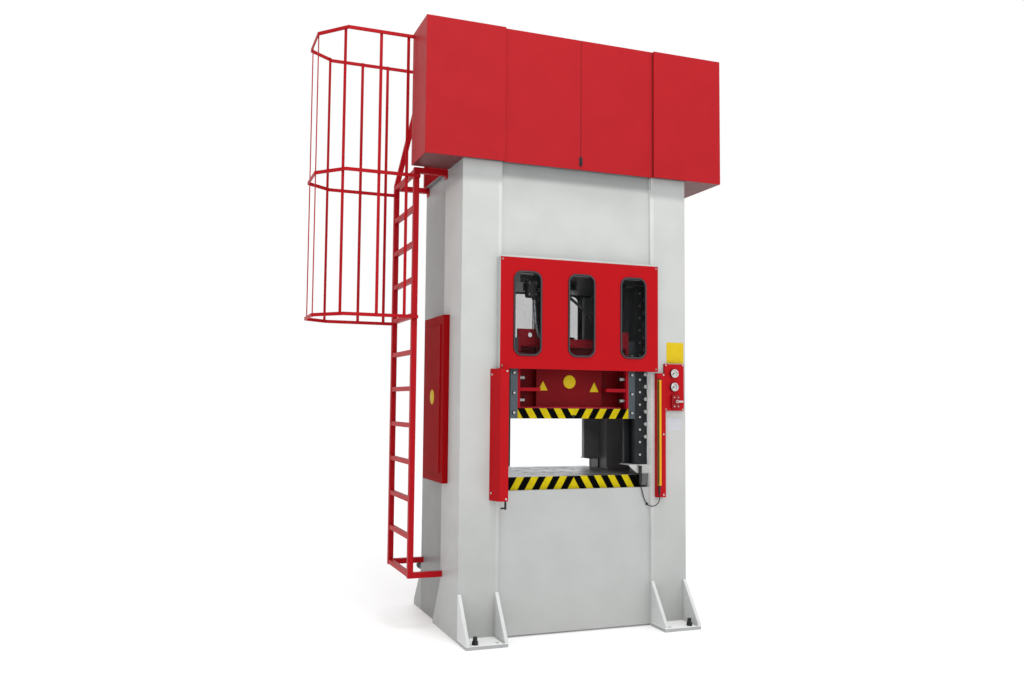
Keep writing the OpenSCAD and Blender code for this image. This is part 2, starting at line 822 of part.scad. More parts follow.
module cylinder_gland() color("#55595d") difference() {
  translate([0, 0, crown_bottom - gland_t]) cylinder(d = cyl_d - gland_step, h = gland_t);
  translate([0, 0, crown_bottom - gland_t - cut]) cylinder(d = ram_d + 2 * ram_gap, h = gland_t + 2 * cut);
}

module ram() color("#c9ccd0") {
  translate([0, 0, slide_top]) cylinder(d = ram_foot_d, h = ram_foot_t);
  translate([0, 0, slide_top]) cylinder(d = ram_d, h = ram_l);
  translate([0, 0, slide_top + ram_l]) cylinder(d = cyl_bore - 2 * ram_gap, h = piston_h);
}

// Slide: base, top and side plates round a core, a web in the middle, ribs in the end bays
// and lifting lugs on top
module slide() color("#a01c28") difference() {
  x = slide_w / 2;
  y = slide_d / 2;
  union() {
    span([-x, -y + slide_bay, slide_z], [x, y - slide_bay, slide_top]);
    span([-slide_web_w / 2, -y + slide_web_inset, slide_z],
         [slide_web_w / 2, y - slide_web_inset, slide_top]);
    span([-x, -y, slide_z], [x, y, slide_z + slide_base_t]);
    span([-x, -y, slide_top - slide_top_t], [x, y, slide_top]);
    both_sides() {
      span([x - slide_side_t, -y, slide_z], [x, y, slide_top]);
      span([slide_web_w / 2, -y + slide_rib_inset, slide_z + slide_rib_z],
           [x, y - slide_rib_inset, slide_z + slide_rib_z + slide_rib_t]);
      for (sy = [0, 1]) mirror([0, sy, 0])
        span([x - eye_w, y - eye_t, slide_top], [x, y, slide_top + eye_h]);
    }
  }
  for (sx = [-1, 1]) translate([sx * (x - eye_x), 0, slide_top + eye_z])
    bar_y(eye_d, -y - cut, slide_d + 2 * cut);
  for (sx = [-1, 1], sy = [-1, 1])
    translate([sx * die_bolt_pitch / 2, sy * die_bolt_pitch / 2, slide_z - cut])
      cylinder(d = die_bolt_d, h = die_bolt_l + cut);
  translate([0, 0, slide_z + pilot_d]) bar_y(pilot_d, -y - cut, pilot_l + cut);
}

module slide_shoes() color("#6d7880")
  for (sy = [0, 1]) mirror([0, sy, 0]) both_sides()
    span([slide_w / 2, shoe_y1, slide_z], [gib_face - gib_gap, shoe_y0, slide_top]);

// Bolts through the side plates that hold the shoes
module slide_bolts() color("silver")
  for (sy = [-1, 1], i = shoe_bolts) both_sides()
    translate([0, sy * (slide_d / 2 - shoe_bolt_d), slide_z + shoe_bolt_z + i * shoe_bolt_pitch])
      bar_x(shoe_bolt_d, slide_w / 2 - slide_side_t - shoe_bolt_l, shoe_bolt_l, $fn = 6);

// Sheet-metal panel with three windows, set in front of the opening
module window_panel() difference() {
  along_y(-panel_front, panel_d) translate([-panel_w / 2, panel_z]) square([panel_w, panel_h]);
  along_y(-panel_front + sheet_t, panel_d) translate([-panel_w / 2 + sheet_t, panel_z + sheet_t])
    square([panel_w - 2 * sheet_t, panel_h - 2 * sheet_t]);
  for (i = [-1 : 1])
    along_y(-panel_front - cut, sheet_t + 2 * cut) translate([i * window_pitch, window_mid_z])
      rounded(window_w, window_h, window_r);
}

module front_window_panel() color("#b8262f") window_panel();
module rear_window_panel() color("#b8262f") mirror([0, 1, 0]) window_panel();

module window_seals() color("#1c1d1f")
  for (sy = [0, 1], i = [-1 : 1]) mirror([0, sy, 0])
    along_y(-panel_front - seal_t, seal_t) translate([i * window_pitch, window_mid_z]) difference() {
      rounded(window_w + seal_w, window_h + seal_w, window_r + seal_w / 2);
      rounded(window_w - seal_w, window_h - seal_w, window_r - seal_w / 2);
    }

module window_panes() color([0.75, 0.82, 0.86, 0.4])
  for (sy = [0, 1], i = [-1 : 1]) mirror([0, sy, 0])
    along_y(-panel_front + sheet_t, pane_t) translate([i * window_pitch, window_mid_z])
      rounded(window_w + seal_w, window_h + seal_w, window_r + seal_w / 2);

// Folded corner panel of the head, front edge at +X, side reaching back to y
module corner_panel(x0, x1, y) {
  span([x0, -head_y, frame_h], [x1, -head_y + sheet_t, head_top]);
  span([x1 - sheet_t, -head_y, frame_h], [x1, y, head_top]);
  span([x0, -head_y, frame_h], [x0 + sheet_t, -mid_y, head_top]);
  span([x1 - flange_w, y - sheet_t, floor_top], [x1, y, head_top]);
  for (z = [floor_top, head_top - sheet_t]) {
    span([x0, -head_y, z], [x1, -head_y + flange_w, z + sheet_t]);
    span([x1 - flange_w, -head_y, z], [x1, y, z + sheet_t]);
  }
}

module head_left_panel() color("#c02a34") mirror([1, 0, 0])
  corner_panel(mid_panel_w + seam / 2, head_x, return_y);
module head_right_panel() color("#c02a34")
  corner_panel(mid_panel_w + head_wide + seam / 2, right_x, hd);

// Flat middle panel of the head with folded edges
module middle_panel(x0, x1) {
  span([x0, -mid_y, frame_h], [x1, -mid_y + sheet_t, head_top]);
  for (x = [x0, x1 - sheet_t]) span([x, -mid_y, floor_top], [x + sheet_t, -mid_y + flange_w / 2, head_top]);
  for (z = [floor_top, head_top - sheet_t]) span([x0, -mid_y, z], [x1, -mid_y + flange_w, z + sheet_t]);
}

module head_mid_right_panel() color("#c02a34")
  middle_panel((head_wide + seam) / 2, mid_panel_w + head_wide - seam / 2);
module head_mid_left_panel() color("#c02a34")
  middle_panel(-mid_panel_w + seam / 2, (head_wide - seam) / 2);

module head_rear_panel() color("#c02a34") {
  x1 = right_x - flange_w;
  span([-hw, hd - sheet_t, frame_h], [x1, hd, head_top]);
  span([-hw, hd - flange_w / 2, floor_top], [-hw + sheet_t, hd, head_top]);
  for (z = [floor_top, head_top - sheet_t]) span([-hw, hd - flange_w, z], [x1 - seam, hd, z + sheet_t]);
}

// Decks beside the uprights, the right one with the tube that carries its back
module overhang_decks() color("#5a3436") {
  span([-head_x + sheet_t, -head_y + sheet_t, frame_h], [-hw, return_y, floor_top]);
  span([hw, -head_y + sheet_t, frame_h], [right_x - sheet_t, hd - sheet_t, floor_top]);
  span([hw - cheek_t, hd - 2 * deck_beam, frame_h - deck_beam], [right_x - sheet_t, hd - deck_beam, frame_h]);
}

module platform_floor() color("#70767a") difference() {
  span([-hw, -mid_y + sheet_t, frame_h], [hw, hd - sheet_t, floor_top]);
  translate([0, 0, frame_h - cut]) cylinder(d = cyl_flange_d + 2 * floor_gap, h = floor_t + 2 * cut);
}

// Welded tank with a lid that overhangs its walls
module oil_tank() color("#9aa0a4") {
  span([tank_x, -tank_d / 2, floor_top], [tank_x + tank_w, tank_d / 2, tank_top]);
  span([tank_x - lid_t, -tank_d / 2 - lid_t, tank_top],
       [tank_x + tank_w + lid_t, tank_d / 2 + lid_t, tank_top + lid_t]);
}

module filler_cap() color("#26282a") translate([tank_x + tank_w / 2, tank_d / 4, tank_top + lid_t]) {
  cylinder(d = neck_d, h = neck_h);
  translate([0, 0, neck_h]) cylinder(d = cap_d, h = cap_h);
}

// Foot-mounted motor with cooling fins round its body and a fan cover at its tail
module motor() color("#3f6076") {
  translate([0, motor_axis_y, motor_axis_z]) {
    difference() {
      bar_x(motor_d, motor_x, motor_l);
      for (i = [0 : fin_count - 1]) rotate([i * 360 / fin_count, 0, 0])
        span([motor_x + motor_l * 0.28, -fin_gap / 2, motor_d / 2 - fin_h],
             [motor_x + motor_l * 0.88, fin_gap / 2, motor_d / 2 + cut]);
    }
    span([motor_x + motor_l * 0.45, -box_w / 2, motor_d / 2 - box_w / 4],
         [motor_x + motor_l * 0.72, box_w / 2, motor_d / 2 + box_h]);
  }
  for (x = [0.36, 0.76])
    span([motor_x + motor_l * x, motor_axis_y - motor_d * 0.42, floor_top],
         [motor_x + motor_l * x + motor_foot, motor_axis_y + motor_d * 0.42, motor_axis_z - motor_d * 0.2]);
}

module bell_housing() color("#8a8f93") translate([0, motor_axis_y, motor_axis_z]) {
  bar_x(motor_d * 0.9, bell_x, bell_flange_t);
  bar_x(pump_d, bell_x, bell_l);
  bar_x(pump_d * 1.2, bell_x + bell_l - bell_flange_t, bell_flange_t);
}

module pump() color("#45494d") translate([0, motor_axis_y, motor_axis_z]) {
  bar_x(pump_d, pump_x, pump_l * 0.6);
  bar_x(pump_d * 0.8, pump_x, pump_l);
  span([pump_x + pump_l * 0.1, -pump_d * 0.35, 0], [pump_x + pump_l * 0.55, pump_d * 0.35, pump_d * 0.58]);
}

// Valve block on the cylinder's flange, with its solenoid valves
module valve_block() color("#5f666b") {
  span([-block_w / 2, -block_w / 2, block_z], [block_w / 2, block_w / 2, block_z + block_h]);
  for (sx = [-1, 1]) translate([sx * block_w * 0.3, 0, block_z + block_h]) {
    span([-valve_unit_w / 2, -block_w * 0.3, 0], [valve_unit_w / 2, block_w * 0.3, valve_unit_h]);
    span([-solenoid / 2, -block_w * 0.3 - solenoid_l, (valve_unit_h - solenoid) / 2],
         [solenoid / 2, block_w * 0.3, (valve_unit_h + solenoid) / 2]);
  }
}

// Quarter bend of a pipe about the origin, in the XY plane
module bend(r) {
  rotate_extrude(angle = 90) translate([r, 0]) circle(d = pipe_d);
}

// Suction pipe, pressure pipe with its bend, and return pipe
module oil_pipes() color("#a8acb0") {
  pump_end = pump_x + pump_l;
  riser_x = pump_x + pump_l * 0.325;
  bend_r = pipe_d * 0.8;
  riser_z = motor_axis_z + pump_d * 0.58;
  cross_z = riser_z + bend_r + riser_l;
  translate([0, motor_axis_y, motor_axis_z]) bar_x(pipe_d, pump_end, tank_x - pump_end);
  translate([0, 0, return_z]) bar_x(pipe_d, block_w / 2, tank_x - block_w / 2);
  translate([riser_x, motor_axis_y, riser_z]) cylinder(d = pipe_d, h = cross_z - bend_r - riser_z);
  translate([riser_x, motor_axis_y + bend_r, cross_z - bend_r]) rotate([90, 0, 90])
    rotate([0, 0, 90]) bend(bend_r);
  translate([riser_x, 0, cross_z]) bar_y(pipe_d, motor_axis_y + bend_r, -motor_axis_y - 2 * bend_r);
  translate([riser_x + bend_r, -bend_r, cross_z]) rotate([0, 0, 90]) bend(bend_r);
  translate([0, 0, cross_z]) bar_x(pipe_d, riser_x + bend_r, -block_w / 2 - riser_x - bend_r);
}

module ladder_rails() color("#a81e28")
  for (y = [near_rail_y, far_rail_y])
    span([ladder_axis - rail / 2, y - rail / 2, ladder_z], [ladder_axis + rail / 2, y + rail / 2, frame_h]);

module ladder_rungs() color("#a81e28")
  for (i = [0 : rung_count - 1]) translate([0, 0, ladder_z + i * rung_span / (rung_count - 1)])
    span([ladder_axis - rung / 2, near_rail_y + rail / 2, rung_lift],
         [ladder_axis + rung / 2, far_rail_y - rail / 2, rung_lift + rung]);

// Arms from the rails to the upright, the upper ones with bolted plates
module ladder_brackets() color("#a81e28") {
  reach = [-hw, -hw + cheek_t];
  rails = [near_rail_y, far_rail_y];
  for (i = [0, 1]) {
    span([ladder_axis + rail / 2, rails[i] - rail / 2, ladder_z],
         [reach[i], rails[i] + rail / 2, ladder_z + rail]);
    span([ladder_axis + rail / 2, rails[i] - rail / 2, frame_h - arm_drop],
         [reach[i] - lug_t, rails[i] + rail / 2, frame_h - arm_drop + rail]);
    span([reach[i] - lug_t, rails[i] - lug / 2, frame_h - lug], [reach[i], rails[i] + lug / 2, frame_h]);
  }
}

// Handrail that leans from the far rail's top to the rear panel
module ladder_handrail() color("#a81e28") along_y(far_rail_y - rail / 2, rail) polygon([
  [ladder_axis - rail / 2, frame_h], [ladder_axis + rail / 2, frame_h],
  [ladder_axis + rail / 2 + handrail_lean, head_top - hoop_h / 2],
  [ladder_axis - rail / 2 + handrail_lean, head_top - hoop_h / 2]
]);

// How much a chamfer of sizes a and b shrinks on an outline set in by s
function set_in(a, b, s) = 1 + s * (norm([1 / a, 1 / b]) - 1 / a - 1 / b);

// Outline of a hoop, set in by s; its sides run on to x0 near and x1 far
module hoop_outline(s, x0, x1) {
  n = set_in(cage_chamfer, near_chamfer, s);
  f = set_in(cage_chamfer, far_chamfer, s);
  x = cage_out + s;
  y0 = cage_y0 + s;
  y1 = cage_y1 - s;
  polygon([
    [x0, y0], [x + n * cage_chamfer, y0], [x, y0 + n * near_chamfer],
    [x, y1 - f * far_chamfer], [x + f * cage_chamfer, y1], [x1, y1]
  ]);
}

// Hoops with ears to the rails, the highest one with an ear to the handrail
module cage_hoops() color("#b0222c")
  for (i = [0 : hoop_count - 1]) translate([0, 0, cage_z + i * hoop_pitch]) linear_extrude(hoop_h) {
    x0 = ladder_axis + rail / 2;
    top = i == hoop_count - 1;
    x1 = top ? -hw : x0;
    difference() {
      hoop_outline(0, x0, x1);
      hoop_outline(hoop_t, x0, x1);
      translate([x0, cage_y0 + hoop_t]) square([cage_x, cage_y1 - cage_y0 - 2 * hoop_t]);
    }
    if (!top) translate([ladder_axis - rail / 2, cage_y0 + hoop_t]) square([rail, rail_gap - hoop_t]);
    ear_x = ladder_axis - rail / 2 + (top ? handrail_lean : 0);
    translate([ear_x, cage_y1 - rail_gap]) square([min(rail, -hw - ear_x), rail_gap - hoop_t]);
  }

// Flat upright bar inside the hoops, its middle at p and turned by a
module cage_bar(p, a) translate([p[0], p[1], cage_z]) rotate(a)
  span([-bar_w / 2, 0, 0], [bar_w / 2, bar_t, (hoop_count - 1) * hoop_pitch + hoop_h]);

// Upright bars along both sides, on the chamfers and on the outer side
module cage_bars() color("#b0222c") {
  y0 = cage_y0 + hoop_t;
  y1 = cage_y1 - hoop_t;
  x = cage_out + hoop_t;
  n = set_in(cage_chamfer, near_chamfer, hoop_t) * [cage_chamfer, near_chamfer];
  f = set_in(cage_chamfer, far_chamfer, hoop_t) * [cage_chamfer, far_chamfer];
  for (i = [0, 1]) {
    cage_bar([ladder_axis - bar_first - i * bar_pitch, y0], 0);
    cage_bar([ladder_axis - bar_first - i * bar_pitch, y1], 180);
  }
  cage_bar([x + n[0], y0] + bar_corner * [-n[0], n[1]] / norm(n), -atan2(n[1], n[0]));
  cage_bar([x + f[0], y1] + bar_corner * [-f[0], -f[1]] / norm(f), 180 + atan2(f[1], f[0]));
  cage_bar([x, y0 + n[1] + bar_corner], -90);
  cage_bar([x, y1 - f[1] - bar_corner], -90);
}

// Bent cover of the left light curtain: fixing flange, slanting side and front
module left_curtain_cover() color("#b8262f") {
  x0 = -inner + cover_in;
  x1 = x0 - cover_front_w;
  x2 = x1 - cover_slant_w;
  y1 = -hd - cover_d;
  t = sheet_t;
  translate([0, 0, cover_z]) linear_extrude(cover_h) polygon([
    [x2, -hd], [x1, y1], [x0, y1], [x0, y1 + t], [x1 + t, y1 + t], [x2 + t * 1.4, -hd - t],
    [x2 + cover_flange, -hd - t], [x2 + cover_flange, -hd]
  ]);
}

// Light curtain profile, its middle at x and its back at y, with a groove for the beams
module curtain(x, y) translate([x, y, curtain_z]) linear_extrude(curtain_l) difference() {
  translate([-curtain_w / 2, -curtain_d]) square([curtain_w, curtain_d]);
  translate([-curtain_w / 2 - cut, -curtain_d * 0.75]) square([curtain_groove + cut, curtain_d * 0.5]);
}

module left_light_curtain() color("#e0b020") mirror([1, 0, 0]) curtain(-left_curtain_x, left_curtain_y);

// Channel on the right upright that carries the other light curtain
module right_curtain_channel() color("#b8262f")
  translate([inner + channel_x, -channel_front, channel_z]) linear_extrude(channel_h) difference() {
    square([channel_w, channel_d]);
    translate([sheet_t, sheet_t]) square([channel_w - 2 * sheet_t, channel_d]);
  }

module right_light_curtain() color("#e0b020") curtain(curtain_x, -channel_front);

// Round plugs under both light curtains, the left one with an elbow, and the gland
// under the right gib's bracket
module curtain_plugs() color("#18191a") {
  translate([curtain_x, -channel_front - curtain_d / 2, plug_z]) cylinder(d = plug_d, h = plug_l);
  translate([left_curtain_x, left_curtain_y - curtain_d / 2, cover_z - plug_l]) {
    cylinder(d = plug_d, h = plug_l + curtain_z - cover_z);
    translate([0, 0, plug_d * 0.6]) bar_x(plug_d * 0.8, -elbow_l, elbow_l);
  }
  translate(entry_p) cylinder(d = entry_d, h = gib_z - bracket_t - entry_p[2]);
}

function unit(v) = v / norm(v);
// Ring of points round the i-th point of a route
function ring(p, i, r, n) = let(
    a = p[max(i - 1, 0)],
    b = p[min(i + 1, len(p) - 1)],
    t = unit(b - a),
    u = unit(cross(t, [0, 1, 0])),
    v = cross(u, t)
  ) [for (k = [0 : n - 1]) p[i] + r * (cos(360 * k / n) * u + sin(360 * k / n) * v)];

// Tube along a route
module tube(p, r, n) {
  m = len(p);
  points = [for (i = [0 : m - 1]) each ring(p, i, r, n)];
  sides = [for (i = [0 : m - 2], k = [0 : n - 1])
    [i * n + k, i * n + (k + 1) % n, (i + 1) * n + (k + 1) % n, (i + 1) * n + k]];
  ends = [[for (k = [n - 1 : -1 : 0]) k], [for (k = [0 : n - 1]) (m - 1) * n + k]];
  polyhedron(points, concat(sides, ends));
}

module curtain_cable() color("#141414") tube(cable_route, cable_r, cable_sides);

// Clip on the bed that holds the cable
module cable_clip() color("#141414") {
  p = cable_route[clip_at];
  span([p[0] - clip_w / 2, p[1] + cable_r + clip_gap, p[2] - clip_h / 2],
       [p[0] + clip_w / 2, -web_y, p[2] + clip_h / 2]);
}

// Shallow box on the right upright
module gauge_panel() color("#b8262f") translate([0, 0, gauge_panel_z]) linear_extrude(gauge_panel_h)
  translate([gauge_x - gauge_panel_w / 2, -gauge_face]) difference() {
    square([gauge_panel_w, gauge_panel_d]);
    translate([sheet_t, sheet_t]) square([gauge_panel_w - 2 * sheet_t, gauge_panel_d]);
  }

// Gauge cases: cups with a spindle in the middle
module gauge_cases() color("#1d1f21")
  for (z = gauge_levels) translate([gauge_axis, 0, z]) {
    difference() {
      bar_y(gauge_d, -gauge_face - gauge_t, gauge_t);
      bar_y(gauge_d - 2 * gauge_wall, -gauge_face - gauge_t - cut, gauge_pocket + cut);
    }
    bar_y(spindle_d, pointer_y - spindle_end, spindle_end + hub_t + hub_lift);
  }

module gauge_glasses() color([0.8, 0.85, 0.9, 0.35])
  for (z = gauge_levels) translate([gauge_axis, 0, z])
    bar_y(gauge_d - 2 * gauge_wall - 2 * glass_gap, -gauge_face - gauge_t + glass_in, glass_t);

// Pointer with its hub on the spindle, pointing down to the left at rest
module pointer(z) translate([gauge_axis, pointer_y, z]) rotate([0, -135, 0]) difference() {
  union() {
    bar_y(hub_d, 0, hub_t);
    span([-needle_w / 2, 0, -needle_tail], [needle_w / 2, needle_t, gauge_d / 2 - gauge_wall - needle_gap]);
  }
  bar_y(spindle_d + 2 * pivot_gap, -cut, hub_t + 2 * cut);
}

module upper_pointer() color("black") pointer(gauge_levels[0]);
module lower_pointer() color("black") pointer(gauge_levels[1]);

// Hand valve: body with a collar and a stem
module valve_body() color("#8e1a24") translate([gauge_x, 0, valve_level]) {
  along_y(-gauge_face - valve_t, valve_t) rounded(valve_w, valve_h, valve_r);
  bar_y(collar_d, -gauge_face - valve_t - collar_l, collar_l);
  bar_y(stem_d, -gauge_face - valve_t - stem_l, stem_l);
}

// Lever on the valve's stem
module valve_lever() color("silver") translate([gauge_x, lever_y, valve_level]) difference() {
  y = -(lever_hub_l + lever_t) / 2;
  union() {
    bar_y(lever_hub_d, -lever_hub_l, lever_hub_l);
    span([0, y, -lever_w / 2], [lever_l, y + lever_t, lever_w / 2]);
    translate([lever_l, 0, 0]) bar_y(lever_w, y, lever_t);
  }
  bar_y(stem_d + 2 * pivot_gap, -lever_hub_l - cut, lever_hub_l + 2 * cut);
}

// Right-hand side guard: a shallow pan with a raised field, fitted to the stepped side
module side_guard() {
  x1 = hw + guard_t;
  z1 = guard_z + guard_h;
  step = -hd + cheek_d;
  difference() {
    union() {
      span([hw, -guard_d / 2, guard_z], [x1, guard_d / 2, z1]);
      span([hw - cheek_t, step, guard_z], [x1, guard_d / 2, z1]);
      span([hw, -guard_d / 2 + guard_border, guard_z + guard_border],
           [x1 + guard_raise, guard_d / 2 - guard_border, z1 - guard_border]);
    }
    span([hw - cheek_t - cut, -guard_d / 2 + sheet_t, guard_z + sheet_t],
         [x1 - sheet_t, guard_d / 2 - sheet_t, z1 - sheet_t]);
    span([hw, -guard_d / 2 + guard_border + sheet_t, guard_z + guard_border + sheet_t],
         [x1 + guard_raise - sheet_t, guard_d / 2 - guard_border - sheet_t, z1 - guard_border - sheet_t]);
  }
}

module right_side_guard() color("#a3222c") side_guard();
module left_side_guard() color("#a3222c") mirror([1, 0, 0]) side_guard();

// Cushion cylinder in the bed's bore, its flange on the well's floor
module cushion_cylinder() color("#4c5054") difference() {
  union() {
    translate([0, 0, cushion_floor - cushion_cyl_l]) cylinder(d = cushion_cyl_d, h = cushion_cyl_l);
    translate([0, 0, cushion_floor]) cylinder(d = cushion_flange_d, h = cushion_flange_t);
  }
  translate([0, 0, cushion_floor - cushion_cyl_l + cushion_wall])
    cylinder(d = cushion_ram_d + 2 * ram_gap, h = cushion_cyl_l + cushion_flange_t);
}

// Cushion plate with its ram below and the pins that stand on it
module cushion_plate() color("#787d82") {
  span([-cushion_w / 2, -cushion_d / 2, cushion_z], [cushion_w / 2, cushion_d / 2, cushion_top]);
  translate([0, 0, cushion_z - cushion_ram_l]) cylinder(d = cushion_ram_d, h = cushion_ram_l);
  for (x = pin_rows, y = pin_rows) translate([x * row_pitch, y * row_pitch, cushion_top])
    cylinder(d = pin_d, h = bolster_top - pin_recess - cushion_top);
}

left_upright();
right_upright();
crown();
bed();
front_feet();
rear_feet();
levelling_bolts();
bolster();
front_gibs();
rear_gibs();
gib_bolts();
gib_brackets();
main_cylinder();
cylinder_gland();
front_window_panel();
rear_window_panel();
window_seals();
window_panes();
head_left_panel();
head_mid_left_panel();
head_mid_right_panel();
head_right_panel();
head_rear_panel();
overhang_decks();
platform_floor();
oil_tank();
filler_cap();
motor();
bell_housing();
pump();
valve_block();
oil_pipes();
ladder_rails();
ladder_rungs();
ladder_brackets();
ladder_handrail();
cage_hoops();
cage_bars();
left_curtain_cover();
left_light_curtain();
right_curtain_channel();
right_light_curtain();
curtain_plugs();
curtain_cable();
cable_clip();
gauge_panel();
gauge_cases();
gauge_glasses();
upper_pointer();
lower_pointer();
valve_body();
valve_lever();
left_side_guard();
right_side_guard();
slide();
slide_shoes();
slide_bolts();
ram();
cushion_cylinder();
cushion_plate();
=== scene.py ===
"""Looks of an h-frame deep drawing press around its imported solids. Metres, +Z up, front at -Y."""
import json
import math

import bpy
import numpy as np
from mathutils import Matrix, Vector


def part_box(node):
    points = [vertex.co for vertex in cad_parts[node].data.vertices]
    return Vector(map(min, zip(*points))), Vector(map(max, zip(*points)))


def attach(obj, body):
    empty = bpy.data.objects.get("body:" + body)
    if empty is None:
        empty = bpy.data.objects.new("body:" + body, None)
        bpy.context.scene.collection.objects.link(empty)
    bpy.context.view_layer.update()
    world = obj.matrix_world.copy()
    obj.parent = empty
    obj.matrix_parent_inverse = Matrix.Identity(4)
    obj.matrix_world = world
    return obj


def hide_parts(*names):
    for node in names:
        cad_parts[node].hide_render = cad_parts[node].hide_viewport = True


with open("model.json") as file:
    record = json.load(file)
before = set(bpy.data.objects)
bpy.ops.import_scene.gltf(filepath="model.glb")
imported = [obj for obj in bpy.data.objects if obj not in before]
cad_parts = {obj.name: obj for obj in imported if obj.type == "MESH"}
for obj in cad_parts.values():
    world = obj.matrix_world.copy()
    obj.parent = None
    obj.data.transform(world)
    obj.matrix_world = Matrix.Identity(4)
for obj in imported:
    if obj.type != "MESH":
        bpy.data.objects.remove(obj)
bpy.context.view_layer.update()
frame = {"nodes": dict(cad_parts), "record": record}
NODES = frame["nodes"]
UP = np.array([0.0, 0.0, 1.0])

# Places of the solids that several pieces share; the frame is alike on both sides, so they count both ways.
UPRIGHT_INNER = 0.611  # |X| of the uprights' inner faces
FRAME_SHEET = 0.520  # |Y| of the crown's and the bed's sheets
UPRIGHT_FACE = 0.540  # |Y| of the uprights' faces
WINDOW_FACE = 0.600  # |Y| of the window panels' faces
SLIDE_WEB = 0.385  # |Y| of the slide's webs
SLIDE_FACE = 0.475  # |Y| of the slide's base and shoes
FOOT_TOP = 0.025  # Z of the feet's plates


# ---------------------------------------------------------------- camera
def photo_camera():
    """Pinhole camera solved from the frame's edges: place, yaw, pitch, roll and focal length."""
    yaw, pitch, roll = (math.radians(a) for a in (-20.739, 3.895, 0.511))
    ahead = Vector((-math.sin(yaw) * math.cos(pitch), math.cos(yaw) * math.cos(pitch), math.sin(pitch)))
    level = Vector((math.cos(yaw), math.sin(yaw), 0))
    top = level.cross(ahead)
    right = level * math.cos(roll) + top * math.sin(roll)
    above = top * math.cos(roll) - level * math.sin(roll)
    data = bpy.data.cameras.new("camera")
    focal_pixels, photo_pixels = 904.159, 1024
    data.sensor_width = 36.0
    data.lens = focal_pixels / photo_pixels * data.sensor_width
    data.clip_end = 200
    camera = bpy.data.objects.new("camera", data)
    bpy.context.scene.collection.objects.link(camera)
    turn = Matrix((right, above, -ahead)).transposed().to_4x4()
    camera.matrix_world = Matrix.Translation((-2.8259, -6.6165, 1.6563)) @ turn
    bpy.context.scene.camera = camera


photo_camera()


# ---------------------------------------------------------------- finishes
def srgb(r, g, b):
    """Linear colour of an sRGB colour given from 0 to 255."""
    c = np.array([r, g, b]) / 255
    return tuple(np.where(c <= 0.04045, c / 12.92, ((c + 0.055) / 1.055) ** 2.4)) + (1.0,)


class Wire:
    """A value socket of a finish. Arithmetic on it adds Math nodes."""

    def __init__(self, finish, socket):
        self.finish, self.socket = finish, socket

    def math(self, operation, *values):
        """This value put through a Math node."""
        return self.finish.node("ShaderNodeMath", {"operation": operation}, [self, *values])

    def __add__(self, other):
        return self.math("ADD", other)

    def __sub__(self, other):
        return self.math("SUBTRACT", other)

    def __rsub__(self, other):
        return self.finish.node("ShaderNodeMath", {"operation": "SUBTRACT"}, [other, self])

    def __mul__(self, other):
        return self.math("MULTIPLY", other)

    def __truediv__(self, other):
        return self.math("DIVIDE", other)

    def __abs__(self):
        return self.math("ABSOLUTE")

    __radd__ = __add__
    __rmul__ = __mul__

    def fract(self):
        """The part after the decimal point."""
        return self.math("FRACT")

    def below(self, edge, soft):
        """1 below the edge and 0 above it, smooth over twice soft."""
        return 1 - self.over(edge, soft)

    def over(self, edge, soft):
        """1 above the edge and 0 below it, smooth over twice soft."""
        return self.finish.node(
            "ShaderNodeMapRange", {"interpolation_type": "SMOOTHSTEP"}, [self, edge - soft, edge + soft, 0.0, 1.0]
        )

    def larger(self, other):
        """The larger of the two values."""
        return self.math("MAXIMUM", other)


class Finish:
    """One procedural material: a Principled shader and the nodes that feed it."""

    rounding = None

    def __init__(self, name, **constants):
        self.material = bpy.data.materials.new(name)
        self.material.use_nodes = True
        self.tree = self.material.node_tree
        self.shader = self.tree.nodes["Principled BSDF"]
        for socket, value in constants.items():
            self.shader.inputs[socket.replace("_", " ")].default_value = value
        self.place = self.node("ShaderNodeTexCoord", {}, {}, "Object")

    def node(self, kind, settings, inputs, out=0):
        """A node of that kind with its settings, then its inputs by number or name, as one of its outputs."""
        made = self.tree.nodes.new(kind)
        for key, value in settings.items():
            setattr(made, key, value)
        for key, value in inputs.items() if isinstance(inputs, dict) else enumerate(inputs):
            if isinstance(value, Wire):
                self.tree.links.new(value.socket, made.inputs[key])
            else:
                made.inputs[key].default_value = value
        return Wire(self, made.outputs[out])

    def feed(self, socket, wire):
        """Joins a value to an input of the shader."""
        self.tree.links.new(wire.socket, self.shader.inputs[socket])

    def axes(self):
        """The three object coordinates as values."""
        split = self.node("ShaderNodeSeparateXYZ", {}, [self.place], "X")
        return [Wire(self, split.socket.node.outputs[a]) for a in "XYZ"]

    def stretched(self, scale):
        """Object coordinates, stretched along each axis."""
        return self.node("ShaderNodeMapping", {}, {"Vector": self.place, "Scale": scale})

    def noise(self, scale, detail=3.0, stretch=None):
        """Fractal noise from 0 to 1 over the object coordinates."""
        where = self.place if stretch is None else self.stretched(stretch)
        return self.node("ShaderNodeTexNoise", {}, {"Vector": where, "Scale": scale, "Detail": detail})

    def mix(self, factor, a, b):
        """Colour a where the factor is 0 and colour b where it is 1."""
        return self.node("ShaderNodeMix", {"data_type": "RGBA"}, {0: factor, 6: a, 7: b}, 2)

    def bump(self, height, distance):
        """Fine relief of the surface, on top of the rounded edges if there are any."""
        rounded = {} if self.rounding is None else {"Normal": self.rounding}
        inputs = {"Height": height, "Distance": distance, "Strength": 1.0, **rounded}
        self.feed("Normal", self.node("ShaderNodeBump", {}, inputs))

    def round_edges(self, radius):
        """Rounds the look of sharp edges and gives a mask that is 1 at them."""
        self.rounding = self.node("ShaderNodeBevel", {"samples": 4}, {"Radius": radius}, "Normal")
        flat = self.node("ShaderNodeNewGeometry", {}, {}, "Normal")
        same = self.node("ShaderNodeVectorMath", {"operation": "DOT_PRODUCT"}, [self.rounding, flat], "Value")
        return same.below(0.93, 0.05)


